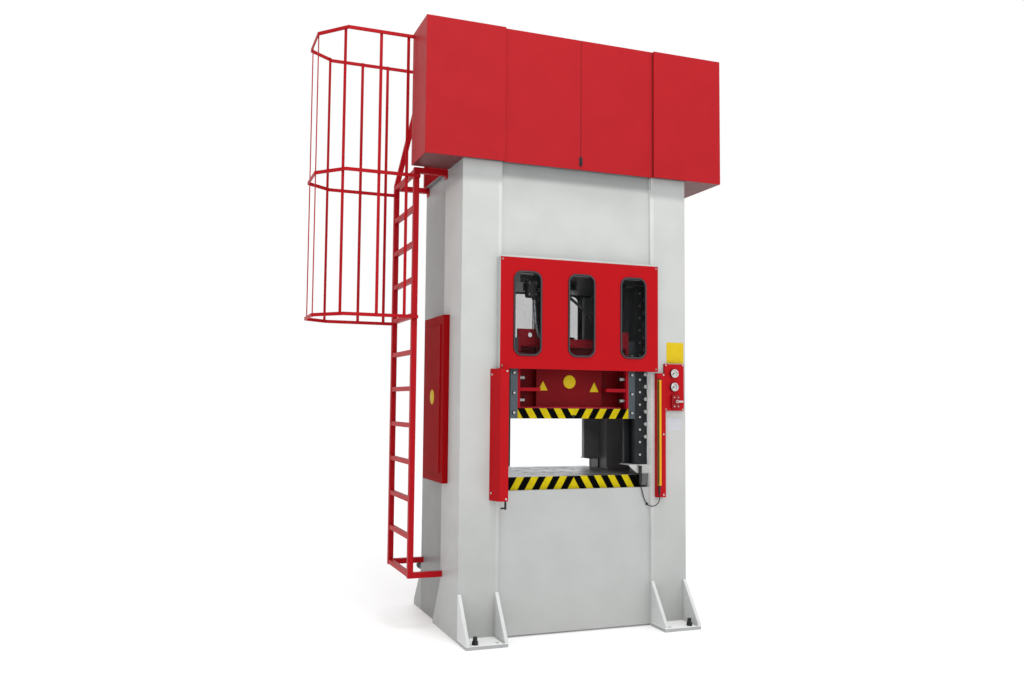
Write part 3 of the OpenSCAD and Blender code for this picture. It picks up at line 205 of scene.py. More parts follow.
def mottled(finish, colour, amount, scale=5.0, detail=5.0):
    """A colour that drifts a little lighter and darker in patches."""
    c = np.array(colour[:3])
    light, dark = (tuple(np.clip(c * (1 + s * amount), 0, 1)) + (1.0,) for s in (1, -1))
    return finish.mix(finish.noise(scale, detail).over(0.5, 0.22), dark, light)


def paint(name, colour, roughness=0.4, gloss=0.2, peel=0.0002, edge=0.003, dust=0.0, wear=0.3, fields=()):
    """Sprayed paint: drifting colour, orange peel, rubbed edges, dust near the floor and scuffs in the gloss.

    Each field is a mask of X, Y and Z with the colour that the paint has where the mask is 1.
    """
    f = Finish(name, Specular_IOR_Level=gloss)
    x, y, z = f.axes()
    edges = f.round_edges(edge)
    base = mottled(f, colour, 0.028)
    for mask, other in fields:
        base = f.mix(mask(x, y, z), base, mottled(f, other, 0.04))
    rubbed = tuple(np.clip(np.array(colour[:3]) * 1.25 + 0.01, 0, 1)) + (1.0,)
    base = f.mix(edges * f.noise(60.0, 4.0).over(0.60, 0.08) * wear, base, rubbed)
    scuffs = f.noise(26.0, 6.0, (1.0, 1.0, 0.12)).over(0.73, 0.03)
    rough = roughness + 0.10 * (f.noise(9.0, 4.0) - 0.5) + 0.12 * scuffs
    if dust:
        settled = z.below(0.20, 0.20) * (0.35 + f.noise(7.0, 5.0)) * dust
        base = f.mix(settled, base, srgb(150, 146, 138))
        rough = rough + 0.25 * settled
    f.feed("Base Color", base)
    f.feed("Roughness", rough)
    f.bump(f.noise(190.0, 2.0) + 0.8 * f.noise(14.0, 2.0), peel)
    return f.material


def opening_height(z):
    """Mask of the heights between the bed and the crown."""
    return z.over(1.03, 0.0005) * z.below(2.75, 0.01)


def opening_walls_shade(x, y, z):
    """Mask of the walls inside the working opening, whose grey is darkened there as painted shade."""
    return abs(x).below(0.879, 0.0005) * abs(y).below(0.4755, 0.0005) * opening_height(z)


def crown_underside_shade(x, y, z):
    """Mask of the crown's face that looks down into the opening, painted near black as painted shade."""
    return abs(x).below(0.6105, 0.0003) * abs(y).below(0.519, 0.0005) * z.below(2.61, 0.001)


def recessed_side_shade(x, y, z):
    """Mask of the back half of an upright's outer side, which lies behind the flared cheek and is painted darker
    as painted shade.
    """
    return abs(x).over(0.860, 0.001) * abs(x).below(0.8830, 0.0005) * y.over(-0.105, 0.004)


def recessed_low_shade(x, y, z):
    """Mask of the recessed side where it nears the floor, where the painted shade deepens."""
    return recessed_side_shade(x, y, z) * near_floor_shade(x, y, z)


def corner_highlight(x, y, z):
    """Mask of the uprights' inner edges beside the crown and the bed, and of the reveal behind them, painted
    lighter as a painted highlight.
    """
    return abs(x).below(0.636, 0.0006) * y.below(-0.4765, 0.0005)


def front_reveal_light(x, y, z):
    """Mask of the uprights' inner faces between the gibs and the front corners, painted nearly white as painted
    light on faces that stand in shade.
    """
    return abs(x).below(0.6115, 0.0003) * y.below(-0.4765, 0.0005)


def curtain_beam_side_shade(x, y, z):
    """Mask of the light curtains' sides that face each other, whose yellow is darkened as painted shade."""
    return x.below(0.6428, 0.0003) * x.over(-0.5878, 0.0003)


def rear_reveal_shade(x, y, z):
    """Mask of the uprights' inner faces behind the rear gibs, painted near black as painted shade."""
    return abs(x).below(0.612, 0.0005) * y.over(0.4740, 0.001) * opening_height(z)


def foot_edge_shade(x, y, z):
    """Mask of the edges of the feet's plates, painted darker as painted shade."""
    return z.below(0.0235, 0.0008)


def foot_gusset_shade(x, y, z):
    """Mask of the gussets that stand on the feet's plates, painted darker than the plates as painted shade."""
    return z.over(0.0275, 0.001)


def near_floor_shade(x, y, z):
    """Mask that deepens slowly towards the floor, for painted shade on the uprights' lower parts."""
    return z.below(0.95, 0.65) * 0.7


def under_head(x, y, z):
    """Mask of the frame's top, darker in the shade of the head, softening downwards."""
    return z.over(3.20, 0.22) * 0.8


def head_shadow(x, y, z):
    """Mask of the band just below the head's sheets, deeper on the uprights, which stand further forward."""
    return z.over(3.30, 0.03).larger(abs(x).over(0.611, 0.0005) * z.over(3.255, 0.035))


PANEL_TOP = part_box("front_window_panel")[1][2]


def panel_returns(x, y, z):
    """Mask of the bent edges of the window panels at their sides and at the top."""
    top = z.over(PANEL_TOP - 0.001, 0.0003) * abs(y).below(0.5985, 0.0003)
    return abs(x).over(0.6385, 0.0003).larger(top)


def slide_pocket_shade(x, y, z):
    """Mask of the slide's webs and bays, which lie behind its ribs and its base and are painted a darker red as
    painted shade.
    """
    return abs(y).below(0.440, 0.004)


def bracket_rear_shade(x, y, z):
    """Mask of the two brackets at the rear, painted near black as painted shade."""
    return y.over(0.0, 0.01)


def bracket_leg(x, y, z):
    """Mask of the brackets' legs, in the shade under their seats."""
    return z.below(1.134, 0.006)


def panel_back_shade(x, y, z):
    """Mask of the side of the window panels that faces the slide, painted near black as painted shade."""
    return abs(y).below(0.5975, 0.0003)


def metal(name, colour, roughness, lay=(1.0, 1.0, 1.0), scale=120.0, depth=0.0001, metallic=1.0, stain=0.25,
          edge=0.0015):
    """Worked metal: lines of the last cut along the stretched axes, oil stains and bright edges."""
    f = Finish(name, Metallic=metallic)
    edges = f.round_edges(edge)
    lines = f.noise(scale, 5.0, lay)
    stains = f.noise(4.0, 6.0).over(0.56, 0.10)
    c = np.array(colour[:3])
    base = f.mix(lines, tuple(c * 0.86) + (1.0,), tuple(np.clip(c * 1.12, 0, 1)) + (1.0,))
    base = f.mix(stains * stain, base, tuple(c * 0.45) + (1.0,))
    base = f.mix(edges * 0.4, base, tuple(np.clip(c * 1.5, 0, 1)) + (1.0,))
    f.feed("Base Color", base)
    f.feed("Roughness", roughness + 0.20 * (lines - 0.5) + 0.12 * stains)
    f.bump(lines, depth)
    return f.material


def moulded(name, colour, roughness, grain=500.0, depth=0.00012, edge=0.001):
    """Moulded plastic or rubber: fine grain, faint bloom and rubbed edges."""
    f = Finish(name, Specular_IOR_Level=0.4)
    edges = f.round_edges(edge)
    c = np.array(colour[:3])
    bloom = f.noise(11.0, 5.0).over(0.55, 0.15)
    base = f.mix(bloom * 0.35, colour, tuple(c * 0.8 + 0.02) + (1.0,))
    base = f.mix(edges * 0.5, base, tuple(c * 0.9 + 0.05) + (1.0,))
    f.feed("Base Color", base)
    f.feed("Roughness", roughness + 0.18 * (f.noise(30.0, 3.0) - 0.5))
    f.bump(f.noise(grain, 2.0), depth)
    return f.material


def cast(name, colour, roughness=0.55, metallic=0.0):
    """Painted casting: sand grain, colour that drifts in patches and rubbed corners."""
    f = Finish(name, Metallic=metallic)
    edges = f.round_edges(0.003)
    grain = f.noise(260.0, 4.0)
    base = mottled(f, colour, 0.10, 9.0)
    base = f.mix(edges * 0.3, base, tuple(np.array(colour[:3]) * 0.6 + 0.25) + (1.0,))
    f.feed("Base Color", base)
    f.feed("Roughness", roughness + 0.2 * (grain - 0.5))
    f.bump(grain, 0.0005)
    return f.material


FLOOR_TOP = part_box("platform_floor")[1][2]


def tread_plate():
    """Bar-tread floor sheet: soiled between the bars, rubbed bright on their backs."""
    f = Finish("tread_plate", Metallic=0.85)
    x, y, z = f.axes()
    backs = z.over(FLOOR_TOP + 0.0011, 0.0005)
    soil = f.noise(6.0, 6.0).over(0.5, 0.15)
    base = f.mix(soil * 0.5, srgb(150, 153, 156), srgb(98, 99, 100))
    f.feed("Base Color", f.mix(backs * 0.6, base, srgb(205, 207, 208)))
    f.feed("Roughness", 0.42 + 0.2 * soil - 0.14 * backs)
    f.bump(f.noise(220.0, 3.0), 0.0002)
    return f.material


def stripes(name, top, lean, start, period, middle, end, notch):
    """Black and yellow hazard tape: bands on |X| that lean with the height, mirrored about the middle.

    The tape is black past the end, counted in periods, and below the notch's height in the middle band.
    """
    f = Finish(name, Specular_IOR_Level=0.02)
    x, y, z = f.axes()
    soft = 0.006
    along = (abs(x - middle) + lean * (top - z) - start) / period
    black = abs(along.fract() - 0.25).below(0.25, soft)
    black = black.larger(along.fract().over(1 - soft, soft / 2)).larger(along.over(end, soft))
    black = black.larger(z.below(notch, 0.0006) * abs(x - middle).below(period / 2, 0.001))
    scuff = f.noise(30.0, 6.0, (0.25, 1.0, 1.6)).over(0.70, 0.04)
    yellow = mottled(f, srgb(186, 168, 20), 0.10, 24.0)
    base = f.mix(black, yellow, mottled(f, srgb(5, 5, 6), 0.3, 20.0))
    f.feed("Base Color", f.mix(scuff * 0.05, base, srgb(110, 104, 80)))
    f.feed("Roughness", 0.45 + 0.18 * scuff + 0.10 * (f.noise(40.0, 3.0) - 0.5))
    f.bump(f.noise(160.0, 3.0), 0.0002)
    return f.material


def pane(name, alpha):
    """Clear plastic pane: mostly see-through, with faint smears in its gloss."""
    f = Finish(name, Specular_IOR_Level=0.25)
    smear = f.noise(7.0, 5.0, (1.0, 1.0, 0.4)).over(0.55, 0.15)
    f.feed("Base Color", f.mix(smear, srgb(6, 7, 8), srgb(30, 33, 34)))
    f.feed("Roughness", 0.04 + 0.10 * smear)
    f.feed("Alpha", alpha + 0.03 * smear)
    return f.material


GAUGE_AXES = [(0.791, 1.893), (0.791, 1.790)]


def round_gauges(f):
    """The offsets across and up from the nearer gauge's axis, and the distance from it."""
    x, y, z = f.axes()
    (gx, z0), (_, z1) = GAUGE_AXES
    upper = z.over((z0 + z1) / 2, 0.0005)
    dx, dz = x - gx, z - (z1 + (z0 - z1) * upper)
    return dx, dz, (dx * dx + dz * dz).math("SQRT")


def gauge_case():
    """Black moulded case whose inside is white enamel."""
    f = Finish("gauge_case", Specular_IOR_Level=0.3)
    inside = round_gauges(f)[2].below(0.0288, 0.0003)
    black, white = mottled(f, srgb(22, 23, 25), 0.2, 60.0), mottled(f, srgb(214, 215, 214), 0.04, 60.0)
    f.feed("Base Color", f.mix(inside, black, white))
    f.feed("Roughness", 0.38 + 0.16 * (f.noise(80.0, 3.0) - 0.5))
    f.bump(f.noise(500.0, 2.0), 0.0001)
    return f.material


def dial(name):
    """Gauge dial: white enamel with a ring of black strokes, long ones every fifth, over 270 degrees."""
    f = Finish(name)
    dx, dz, radius = round_gauges(f)
    turn = dx.math("ARCTAN2", dz) / (2 * math.pi)
    shown = abs(turn).below(0.378, 0.001)
    fine = abs((turn * 4 / 3 * 30).fract() - 0.5).over(0.42, 0.03) * radius.over(0.0198, 0.0003)
    coarse = abs((turn * 4 / 3 * 6).fract() - 0.5).over(0.478, 0.008) * radius.over(0.0172, 0.0003)
    marks = fine.larger(coarse) * radius.below(0.0236, 0.0003) * shown
    ring = abs(radius - 0.0236).below(0.0004, 0.0002) * shown
    base = f.mix(marks.larger(ring), mottled(f, srgb(236, 236, 232), 0.03, 60.0), srgb(24, 24, 26))
    f.feed("Base Color", base)
    f.feed("Roughness", 0.45 + 0.1 * (f.noise(200.0) - 0.5))
    return f.material


def plate(name, colour, roughness, metallic=0.0, brushed=False):
    """Thin sign or data plate: even colour with faint streaks."""
    f = Finish(name, Metallic=metallic, Specular_IOR_Level=0.2)
    streak = f.noise(60.0, 4.0, (0.15, 1.0, 2.5) if brushed else (1.0, 1.0, 1.0))
    c = np.array(colour[:3])
    f.feed("Base Color", f.mix(streak, tuple(c * 0.9) + (1.0,), tuple(np.clip(c * 1.08, 0, 1)) + (1.0,)))
    f.feed("Roughness", roughness + 0.16 * (streak - 0.5))
    f.bump(streak, 0.00008)
    return f.material


LIGHT_GREY = srgb(182, 184, 182)
# Painted shade: a darker grey for the walls inside the working opening.
OPENING_SHADE_GREY = srgb(118, 120, 122)
RED = srgb(166, 14, 22)
SHADED_GREY = srgb(160, 162, 160)
# Fields of the uprights' paint: a painted highlight at the inner corners, painted light on the front reveals, and
# painted shade near the floor, on the recessed sides, below the head, inside the opening and behind the rear gibs.
UPRIGHT_FIELDS = [
    (corner_highlight, srgb(192, 194, 192)), (front_reveal_light, srgb(236, 237, 236)), (near_floor_shade, srgb(160, 162, 161)),
    (recessed_side_shade, srgb(144, 146, 145)), (recessed_low_shade, srgb(116, 118, 117)), (head_shadow, srgb(154, 156, 155)),
    (opening_walls_shade, OPENING_SHADE_GREY), (rear_reveal_shade, srgb(34, 34, 36)),
]
FINISHES = {
    "frame_paint": paint("frame_paint", LIGHT_GREY, edge=0.004, dust=0.4),
    "upright_paint": paint("upright_paint", LIGHT_GREY, edge=0.004, dust=0.2, fields=UPRIGHT_FIELDS),
    # The crown's paint holds painted shade below the head and near black painted shade on its underside.
    "crown_paint": paint("crown_paint", LIGHT_GREY, edge=0.004, fields=[
        (under_head, SHADED_GREY), (head_shadow, srgb(128, 130, 129)), (crown_underside_shade, srgb(20, 20, 21))]),
    # The bed gets a darker copy of the frame's grey as painted shade, with dust near the floor.
    "bed_shade_paint": paint("bed_shade_paint", srgb(170, 172, 171), edge=0.004, dust=0.15),
    # The feet's plates are white, with painted shade on their edges and on the gussets.
    "foot_paint": paint("foot_paint", srgb(240, 241, 240), edge=0.004, dust=0.05, fields=[
        (foot_edge_shade, srgb(160, 162, 163)), (foot_gusset_shade, srgb(200, 202, 202))]),
    # The rear feet get a darker copy of the feet's paint as painted shade, with dust near the floor.
    "rear_foot_shade_paint": paint("rear_foot_shade_paint", srgb(150, 152, 150), edge=0.004, dust=0.2),
    # The brackets' legs and the two rear brackets are darkened as painted shade.
    "bracket_paint": paint("bracket_paint", srgb(176, 178, 176), 0.36, 0.5, edge=0.002, fields=[
        (bracket_leg, srgb(92, 93, 92)), (bracket_rear_shade, srgb(22, 22, 23))]),
    "red_paint": paint("red_paint", RED, 0.42, 0.08, edge=0.004, wear=0.1),
    # The window panels' backs are painted near black as painted shade.
    "window_panel_paint": paint("window_panel_paint", RED, 0.42, 0.06, wear=0.1,
                                fields=[(panel_back_shade, srgb(30, 28, 29)), (panel_returns, LIGHT_GREY)]),
    "head_paint": paint("head_paint", srgb(160, 27, 33), 0.42, 0.08, edge=0.004, wear=0.1),
    # The side guards get a darker copy of the red as painted shade.
    "guard_shade_paint": paint("guard_shade_paint", srgb(140, 9, 14), 0.5, 0.02, edge=0.004, wear=0.1),
    "ladder_paint": paint("ladder_paint", srgb(164, 14, 24), 0.42, 0.08, edge=0.004, wear=0.2),
    # The slide's webs and bays are a darker red as painted shade.
    "slide_paint": paint("slide_paint", srgb(152, 12, 28), 0.45, 0.08, wear=0.2,
                         fields=[(slide_pocket_shade, srgb(112, 9, 17))]),
    "deck_paint": paint("deck_paint", srgb(96, 44, 46), 0.45, edge=0.003),
    "valve_red": paint("valve_red", srgb(140, 14, 24), edge=0.001),
    "tank_paint": paint("tank_paint", srgb(160, 165, 168), edge=0.004),
    "motor_paint": cast("motor_paint", srgb(66, 98, 120)),
    # The curtains' facing sides are a darker yellow as painted shade.
    "curtain_yellow": paint("curtain_yellow", srgb(206, 150, 22), 0.42, peel=0.00008, edge=0.0015, fields=[
        (curtain_beam_side_shade, srgb(104, 76, 16))]),
    "ground_steel": metal("ground_steel", srgb(182, 185, 188), 0.34, (0.05, 1.0, 1.0), 160.0),
    "dark_steel": metal("dark_steel", srgb(52, 54, 56), 0.46, (1.0, 1.0, 0.06), 140.0, stain=0.5),
    "shoe_steel": metal("shoe_steel", srgb(82, 90, 95), 0.36, (1.0, 1.0, 0.08), 150.0),
    "bright_bolts": metal("bright_bolts", srgb(196, 197, 196), 0.3, scale=300.0, edge=0.001),
    "aged_bolts": metal("aged_bolts", srgb(150, 150, 148), 0.36, scale=300.0, edge=0.001),
    # The rear gibs get a lighter, less metallic copy of the gibs' dark steel as painted light.
    "rear_gib_lit_steel": metal("rear_gib_lit_steel", srgb(120, 122, 124), 0.5, (1.0, 1.0, 0.06), 140.0, metallic=0.2,
                            stain=0.5),
    # The slide's welds are a lighter red than the slide as a painted highlight.
    "slide_weld": paint("slide_weld", srgb(176, 40, 58), 0.35, 0.3, edge=0.002),
    "bright_pipe": metal("bright_pipe", srgb(176, 180, 184), 0.28, scale=90.0),
    "hard_chrome": metal("hard_chrome", srgb(206, 209, 212), 0.12, (1.0, 1.0, 0.04), 200.0, 0.00003),
    "cast_alloy": cast("cast_alloy", srgb(150, 154, 157), 0.45, 0.6),
    "cast_iron": cast("cast_iron", srgb(62, 66, 70), 0.55),
    "tread_plate": tread_plate(),
    "black_oxide": metal("black_oxide", srgb(44, 44, 46), 0.4, scale=240.0, metallic=0.7, edge=0.0015),
    "rubber": moulded("rubber", srgb(10, 10, 12), 0.55, 300.0),
    "filler_grey": moulded("filler_grey", srgb(70, 68, 78), 0.4, 300.0, 0.00005),
    "clear_pane": pane("clear_pane", 0.16),
    "gauge_glass": pane("gauge_glass", 0.06),
    "black_plastic": moulded("black_plastic", srgb(11, 11, 12), 0.46),
    "cable_black": moulded("cable_black", srgb(9, 9, 10), 0.5, 700.0),
    "gauge_case": gauge_case(),
    "gauge_black": moulded("gauge_black", srgb(26, 27, 29), 0.35),
    "pointer_black": moulded("pointer_black", srgb(12, 12, 13), 0.4),
    "sign_yellow": plate("sign_yellow", srgb(200, 172, 12), 0.5),
    "data_plate": plate("data_plate", srgb(190, 192, 198), 0.35, 0.4, True),
}
# Solids whose finish differs from the one that their slot in the record names
OWN_FINISH = {
    "left_upright": "upright_paint", "right_upright": "upright_paint", "crown": "crown_paint", "bed": "bed_shade_paint",
    "rear_feet": "rear_foot_shade_paint", "gib_brackets": "bracket_paint", "rear_gibs": "rear_gib_lit_steel",
    "slide_bolts": "aged_bolts", "front_window_panel": "window_panel_paint",
    "rear_window_panel": "window_panel_paint", "left_side_guard": "guard_shade_paint",
    "right_side_guard": "guard_shade_paint", "gauge_glasses": "gauge_glass", "gauge_cases": "gauge_case",
    "head_left_panel": "head_paint", "head_mid_left_panel": "head_paint", "head_mid_right_panel": "head_paint",
    "head_right_panel": "head_paint", "head_rear_panel": "head_paint",
}
for entry in frame["record"]["subparts"]:
    solid = NODES[entry["node"]].data.materials
    solid.clear()
    solid.append(FINISHES[OWN_FINISH.get(entry["node"], entry["material_slot"])])


# ---------------------------------------------------------------- surfaces
def quads(rows, cols, round_rows=False, round_cols=True):
    """Faces of a grid of rows by cols points, closed along either way."""
    r = np.arange(rows if round_rows else rows - 1)[:, None]
    c = np.arange(cols if round_cols else cols - 1)[None, :]
    r1, c1 = (r + 1) % rows, (c + 1) % cols
    return np.stack([r * cols + c, r * cols + c1, r1 * cols + c1, r1 * cols + c], -1).reshape(-1, 4)


def gathered(shapes):
    """Several (points, faces) as one."""
    starts = np.cumsum([0] + [len(p) for p, _ in shapes])
    return np.concatenate([p for p, _ in shapes]), np.concatenate([f + s for (_, f), s in zip(shapes, starts)])


def outward(points, faces):
    """The faces turned so that a closed shape has a positive volume."""
    a, b, c, d = (points[faces[:, i]] for i in range(4))
    volume = (np.cross(a, b) * c).sum() + (np.cross(a, c) * d).sum()
    return faces if volume > 0 else faces[:, ::-1]


def piece(name, shape, finish, body="frame", smooth=True):
    """An object at the origin whose mesh holds its place; it rides on the body."""
    points, faces = shape
    mesh = bpy.data.meshes.new(name)
    mesh.from_pydata(points.tolist(), [], faces.tolist())
    mesh.validate()
    if smooth:
        mesh.shade_smooth()
        mesh.set_sharp_from_angle(angle=math.radians(38))
    mesh.materials.append(FINISHES[finish])
    made = bpy.data.objects.new(name, mesh)
    bpy.context.scene.collection.objects.link(made)
    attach(made, body)
    return made


def turned(profile, sides=20):
    """A profile of (radius, height) points turned about its own axis, closed at both ends on the axis."""
    p = np.array(profile, float)
    angle = 2 * np.pi * np.arange(sides) / sides
    ring = np.stack([np.cos(angle), np.sin(angle)], -1)
    points = np.concatenate([p[:, None, :1] * ring[None], np.repeat(p[:, None, 1:], sides, 1)], -1)
    return points.reshape(-1, 3), quads(len(p), sides)


def set_at(shape, at, out=(0, -1, 0)):
    """The shape with its own +Z turned to the direction out, moved to a point."""
    n = np.array(out, float)
    n /= np.linalg.norm(n)
    side = np.cross(UP, n) if abs(n[2]) < 0.9 else np.array([1.0, 0.0, 0.0])
    side /= np.linalg.norm(side)
    basis = np.stack([side, np.cross(n, side), n])
    return shape[0] @ basis + np.array(at, float), shape[1]


def many(shape, places, out=(0, -1, 0)):
    """Copies of one shape, each set at its place."""
    return gathered([set_at(shape, at, out) for at in places])


def dome_screw(r, h):
    """Dome-head screw with a socket: a turned profile that rises, rounds over and drops into the socket."""
    return turned([(1e-5, 0), (r, 0), (r, 0.25 * h), (0.92 * r, 0.6 * h), (0.72 * r, 0.88 * h), (0.45 * r, h),
                   (0.40 * r, h), (0.36 * r, 0.45 * h), (1e-5, 0.40 * h)], 14)


def cap_screw(r, h):
    """Cap screw: a straight head with a small chamfer and a deep socket."""
    return turned([(1e-5, 0), (r, 0), (r, 0.88 * h), (0.9 * r, h), (0.56 * r, h), (0.52 * r, 0.35 * h),
                   (1e-5, 0.30 * h)], 16)


def spline(route, per=8):
    """Catmull-Rom curve through the route's points, per samples to each stretch."""
    p = np.array(route, float)
    p = np.concatenate([2 * p[:1] - p[1:2], p, 2 * p[-1:] - p[-2:-1]])
    t = (np.arange(per) / per)[None, :, None]
    a, b, c, d = (p[i:len(p) - 3 + i, None] for i in range(4))
    curve = 0.5 * (2 * b + (c - a) * t + (2 * a - 5 * b + 4 * c - d) * t**2 + (3 * b - a - 3 * c + d) * t**3)
    return np.concatenate([curve.reshape(-1, 3), p[-2:-1]])


def tube(path, radius, sides=14, aside=(0, 1, 0)):
    """A round section carried along a path; radius may change from point to point. Its ends are closed."""
    ahead = np.gradient(path, axis=0)
    ahead /= np.linalg.norm(ahead, axis=1, keepdims=True)
    u = np.cross(ahead, np.array(aside, float))
    u /= np.linalg.norm(u, axis=1, keepdims=True)
    v = np.cross(u, ahead)
    angle = 2 * np.pi * np.arange(sides) / sides
    r = np.broadcast_to(np.asarray(radius, float), len(path))[:, None, None]
    ring = np.cos(angle)[None, :, None] * u[:, None] + np.sin(angle)[None, :, None] * v[:, None]
    points = path[:, None] + r * ring
    ends = path[[0, -1]][:, None] + 1e-5 * ring[[0, -1]]
    points = np.concatenate([ends[:1], points, ends[1:]]).reshape(-1, 3)
    faces = quads(len(path) + 2, sides)
    return points, outward(points, faces)


def rounded_loop(w, h, r, arc=10):
    """Points round a rectangle with rounded corners, and their outward directions."""
    a = np.linspace(0, np.pi / 2, arc)
    corner = np.stack([np.cos(a), np.sin(a)], -1)
    points, normals = [], []
    for turn, (cx, cy) in enumerate([(1, 1), (-1, 1), (-1, -1), (1, -1)]):
        c, s = [(1, 0), (0, 1), (-1, 0), (0, -1)][turn]
        n = corner @ np.array([[c, s], [-s, c]])
        points.append(np.array([cx * (w / 2 - r), cy * (h / 2 - r)]) + r * n)
        normals.append(n)
    return np.concatenate(points), np.concatenate(normals)


def slab(loop, thick, bevel):
    """A flat plate with the loop's outline: a rim that rises, a small bevel and a level face."""
    p, n = loop
    levels = [(0, 0), (0, thick - bevel), (-0.3 * bevel, thick - 0.3 * bevel), (-bevel, thick)]
    rings = [np.concatenate([p + n * d, np.full((len(p), 1), z)], 1) for d, z in levels]
    middle = p.mean(0)
    for z, k in ((0, 0), (thick, len(rings) + 1)):
        cap = np.concatenate([np.broadcast_to(middle, p.shape) + (p - middle) * 1e-4, np.full((len(p), 1), z)], 1)
        rings.insert(k, cap)
    points = np.concatenate(rings)
    return points, outward(points, quads(len(rings), len(p)))


def polygon_loop(corners, r, arc=5):
    """A polygon's outline, counter-clockwise, with its corners rounded, and outward directions."""
    c = np.array(corners, float)
    points, normals = [], []
    for i in range(len(c)):
        a, b, d = c[i - 1], c[i], c[(i + 1) % len(c)]
        e0, e1 = (b - a) / np.linalg.norm(b - a), (d - b) / np.linalg.norm(d - b)
        n0, n1 = np.array([e0[1], -e0[0]]), np.array([e1[1], -e1[0]])
        half = math.acos(np.clip(n0 @ n1, -1, 1)) / 2
        mid = (n0 + n1) / np.linalg.norm(n0 + n1)
        centre = b - mid * r / math.cos(half)
        start = math.atan2(n0[1], n0[0])
        t = start + np.linspace(0, 2 * half, arc)
        n = np.stack([np.cos(t), np.sin(t)], -1)
        points.append(centre + r * n)
        normals.append(n)
    return np.concatenate(points), np.concatenate(normals)


def circle_loop(r, sides=40):
    """Points round a circle, and their outward directions."""
    a = 2 * np.pi * np.arange(sides) / sides
    n = np.stack([np.cos(a), np.sin(a)], -1)
    return n * r, n


def front_plate(x0, x1, z0, z1, y, thick, r):
    """A plate on a face that looks to the front, its back on the level y."""
    shape = slab(rounded_loop(x1 - x0, z1 - z0, r), thick, min(thick * 0.4, 0.0006))
    return set_at(shape, ((x0 + x1) / 2, y, (z0 + z1) / 2))


def weld(a, b, into, size=0.006, pitch=0.007):
    """A fillet weld from a to b: a bulging quarter section whose size ripples along the run."""
    a, b = np.array(a, float), np.array(b, float)
    u, v = (np.array(d, float) for d in into)
    length = np.linalg.norm(b - a)
    t = np.linspace(0, 1, max(8, int(length / pitch * 4)))
    swell = size * (1 + 0.14 * np.sin(2 * np.pi * t * length / pitch) + 0.10 * np.sin(37 * t + a.sum()))
    swell[[0, -1]] = size * 0.25
    angle = np.linspace(0, np.pi / 2, 5)
    across = [(0.0, 0.0)] + [(0.96 * math.cos(s), 0.96 * math.sin(s)) for s in angle]
    section = np.array(across)[None, :, :1] * u + np.array(across)[None, :, 1:] * v
    points = (a + (b - a) * t[:, None])[:, None] + swell[:, None, None] * section
    n = len(across)
    middles = points[[0, -1]].mean(1, keepdims=True)
    ends = middles + (points[[0, -1]] - middles) * 1e-3
    points = np.concatenate([ends[:1], points, ends[1:]]).reshape(-1, 3)
    return points, outward(points, quads(len(t) + 2, n))


# ---------------------------------------------------------------- light curtain's lead
def curtain_lead():
    """The lead that leaves the right curtain's plug, sags, runs through its clip and goes into the gland."""
    steps = np.array([
        [40, -56, 0], [40, -56, -12], [41, -56, -26], [41, -55, -42], [38, -51, -60],
        [31, -44, -76], [21, -33, -89], [9, -20, -97], [-6, -6, -98], [-18, 5, -93],
        [-28, 10, -83], [-38, 10, -71], [-47, 10, -56], [-55, 10, -39], [-62, 10, -20],
        [-67, 10, 0], [-72, 11, 20], [-77, 13, 38], [-80, 16, 51], [-81, 19, 63],
        [-81, 20, 72], [-81, 20, 76]])
    route = (np.array([611, -540, 988]) + steps) / 1000
    path = spline(route, 6)
    lead = piece("curtain_lead", tube(path, 0.0035), "cable_black")
    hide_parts("curtain_cable")
    sleeve = np.linspace(0, 1, 12)[:, None] * np.array([0, 0, -0.022]) + route[0] + np.array([0, 0, 0.001])
    grip = 0.0062 - 0.0018 * np.linspace(0, 1, 12) + 0.0005 * np.cos(np.arange(12) * np.pi)
    piece("lead_strain_relief", tube(sleeve, grip), "black_plastic")
    nut = turned([(1e-5, 0), (0.0112, 0), (0.0112, 0.009), (0.0092, 0.012), (0.0064, 0.0135), (0.0044, 0.0135),
                  (0.0044, 0.002), (1e-5, 0.002)], 6)
    piece("gland_nut", set_at(nut, route[-1], (0, 0, -1)), "black_plastic", smooth=False)


curtain_lead()


# ---------------------------------------------------------------- hazard tape, signs and plates
FINISHES["slide_stripes"] = stripes("slide_stripes", 1.620, 0.58, 0.0475, 0.1148, -0.006, 99.0, 1.5705)
FINISHES["bolster_stripes"] = stripes("bolster_stripes", 1.125, -0.58, -0.0053, 0.1136, -0.0102, 4.5, 0.0)


def tapes():
    """Thin hazard tape on the slide's base and the bolster's edge, front and back."""
    for side, y in (("front", -1), ("rear", 1)):
        for name, w, z0, z1, depth, finish, body in (
            ("slide", 0.452, 1.5455, 1.6195, SLIDE_FACE, "slide_stripes", "slide"),
            ("bolster", 0.5512, 1.0305, 1.1245, 0.490, "bolster_stripes", "frame"),
        ):
            shape = slab(rounded_loop(2 * w, z1 - z0, 0.002, 4), 0.0006, 0.0003)
            piece(f"{name}_tape_{side}", set_at(shape, (0, y * depth, (z0 + z1) / 2), (0, y, 0)), finish, body)


tapes()
piece("pilot_plug", set_at(turned([(1e-5, 0), (0.0095, 0), (0.0095, 0.0012), (0.006, 0.0016), (0.0052, 0.0006),
                                   (1e-5, 0.0006)]), (-0.008, -0.4755, 1.563)), "black_oxide", "slide")


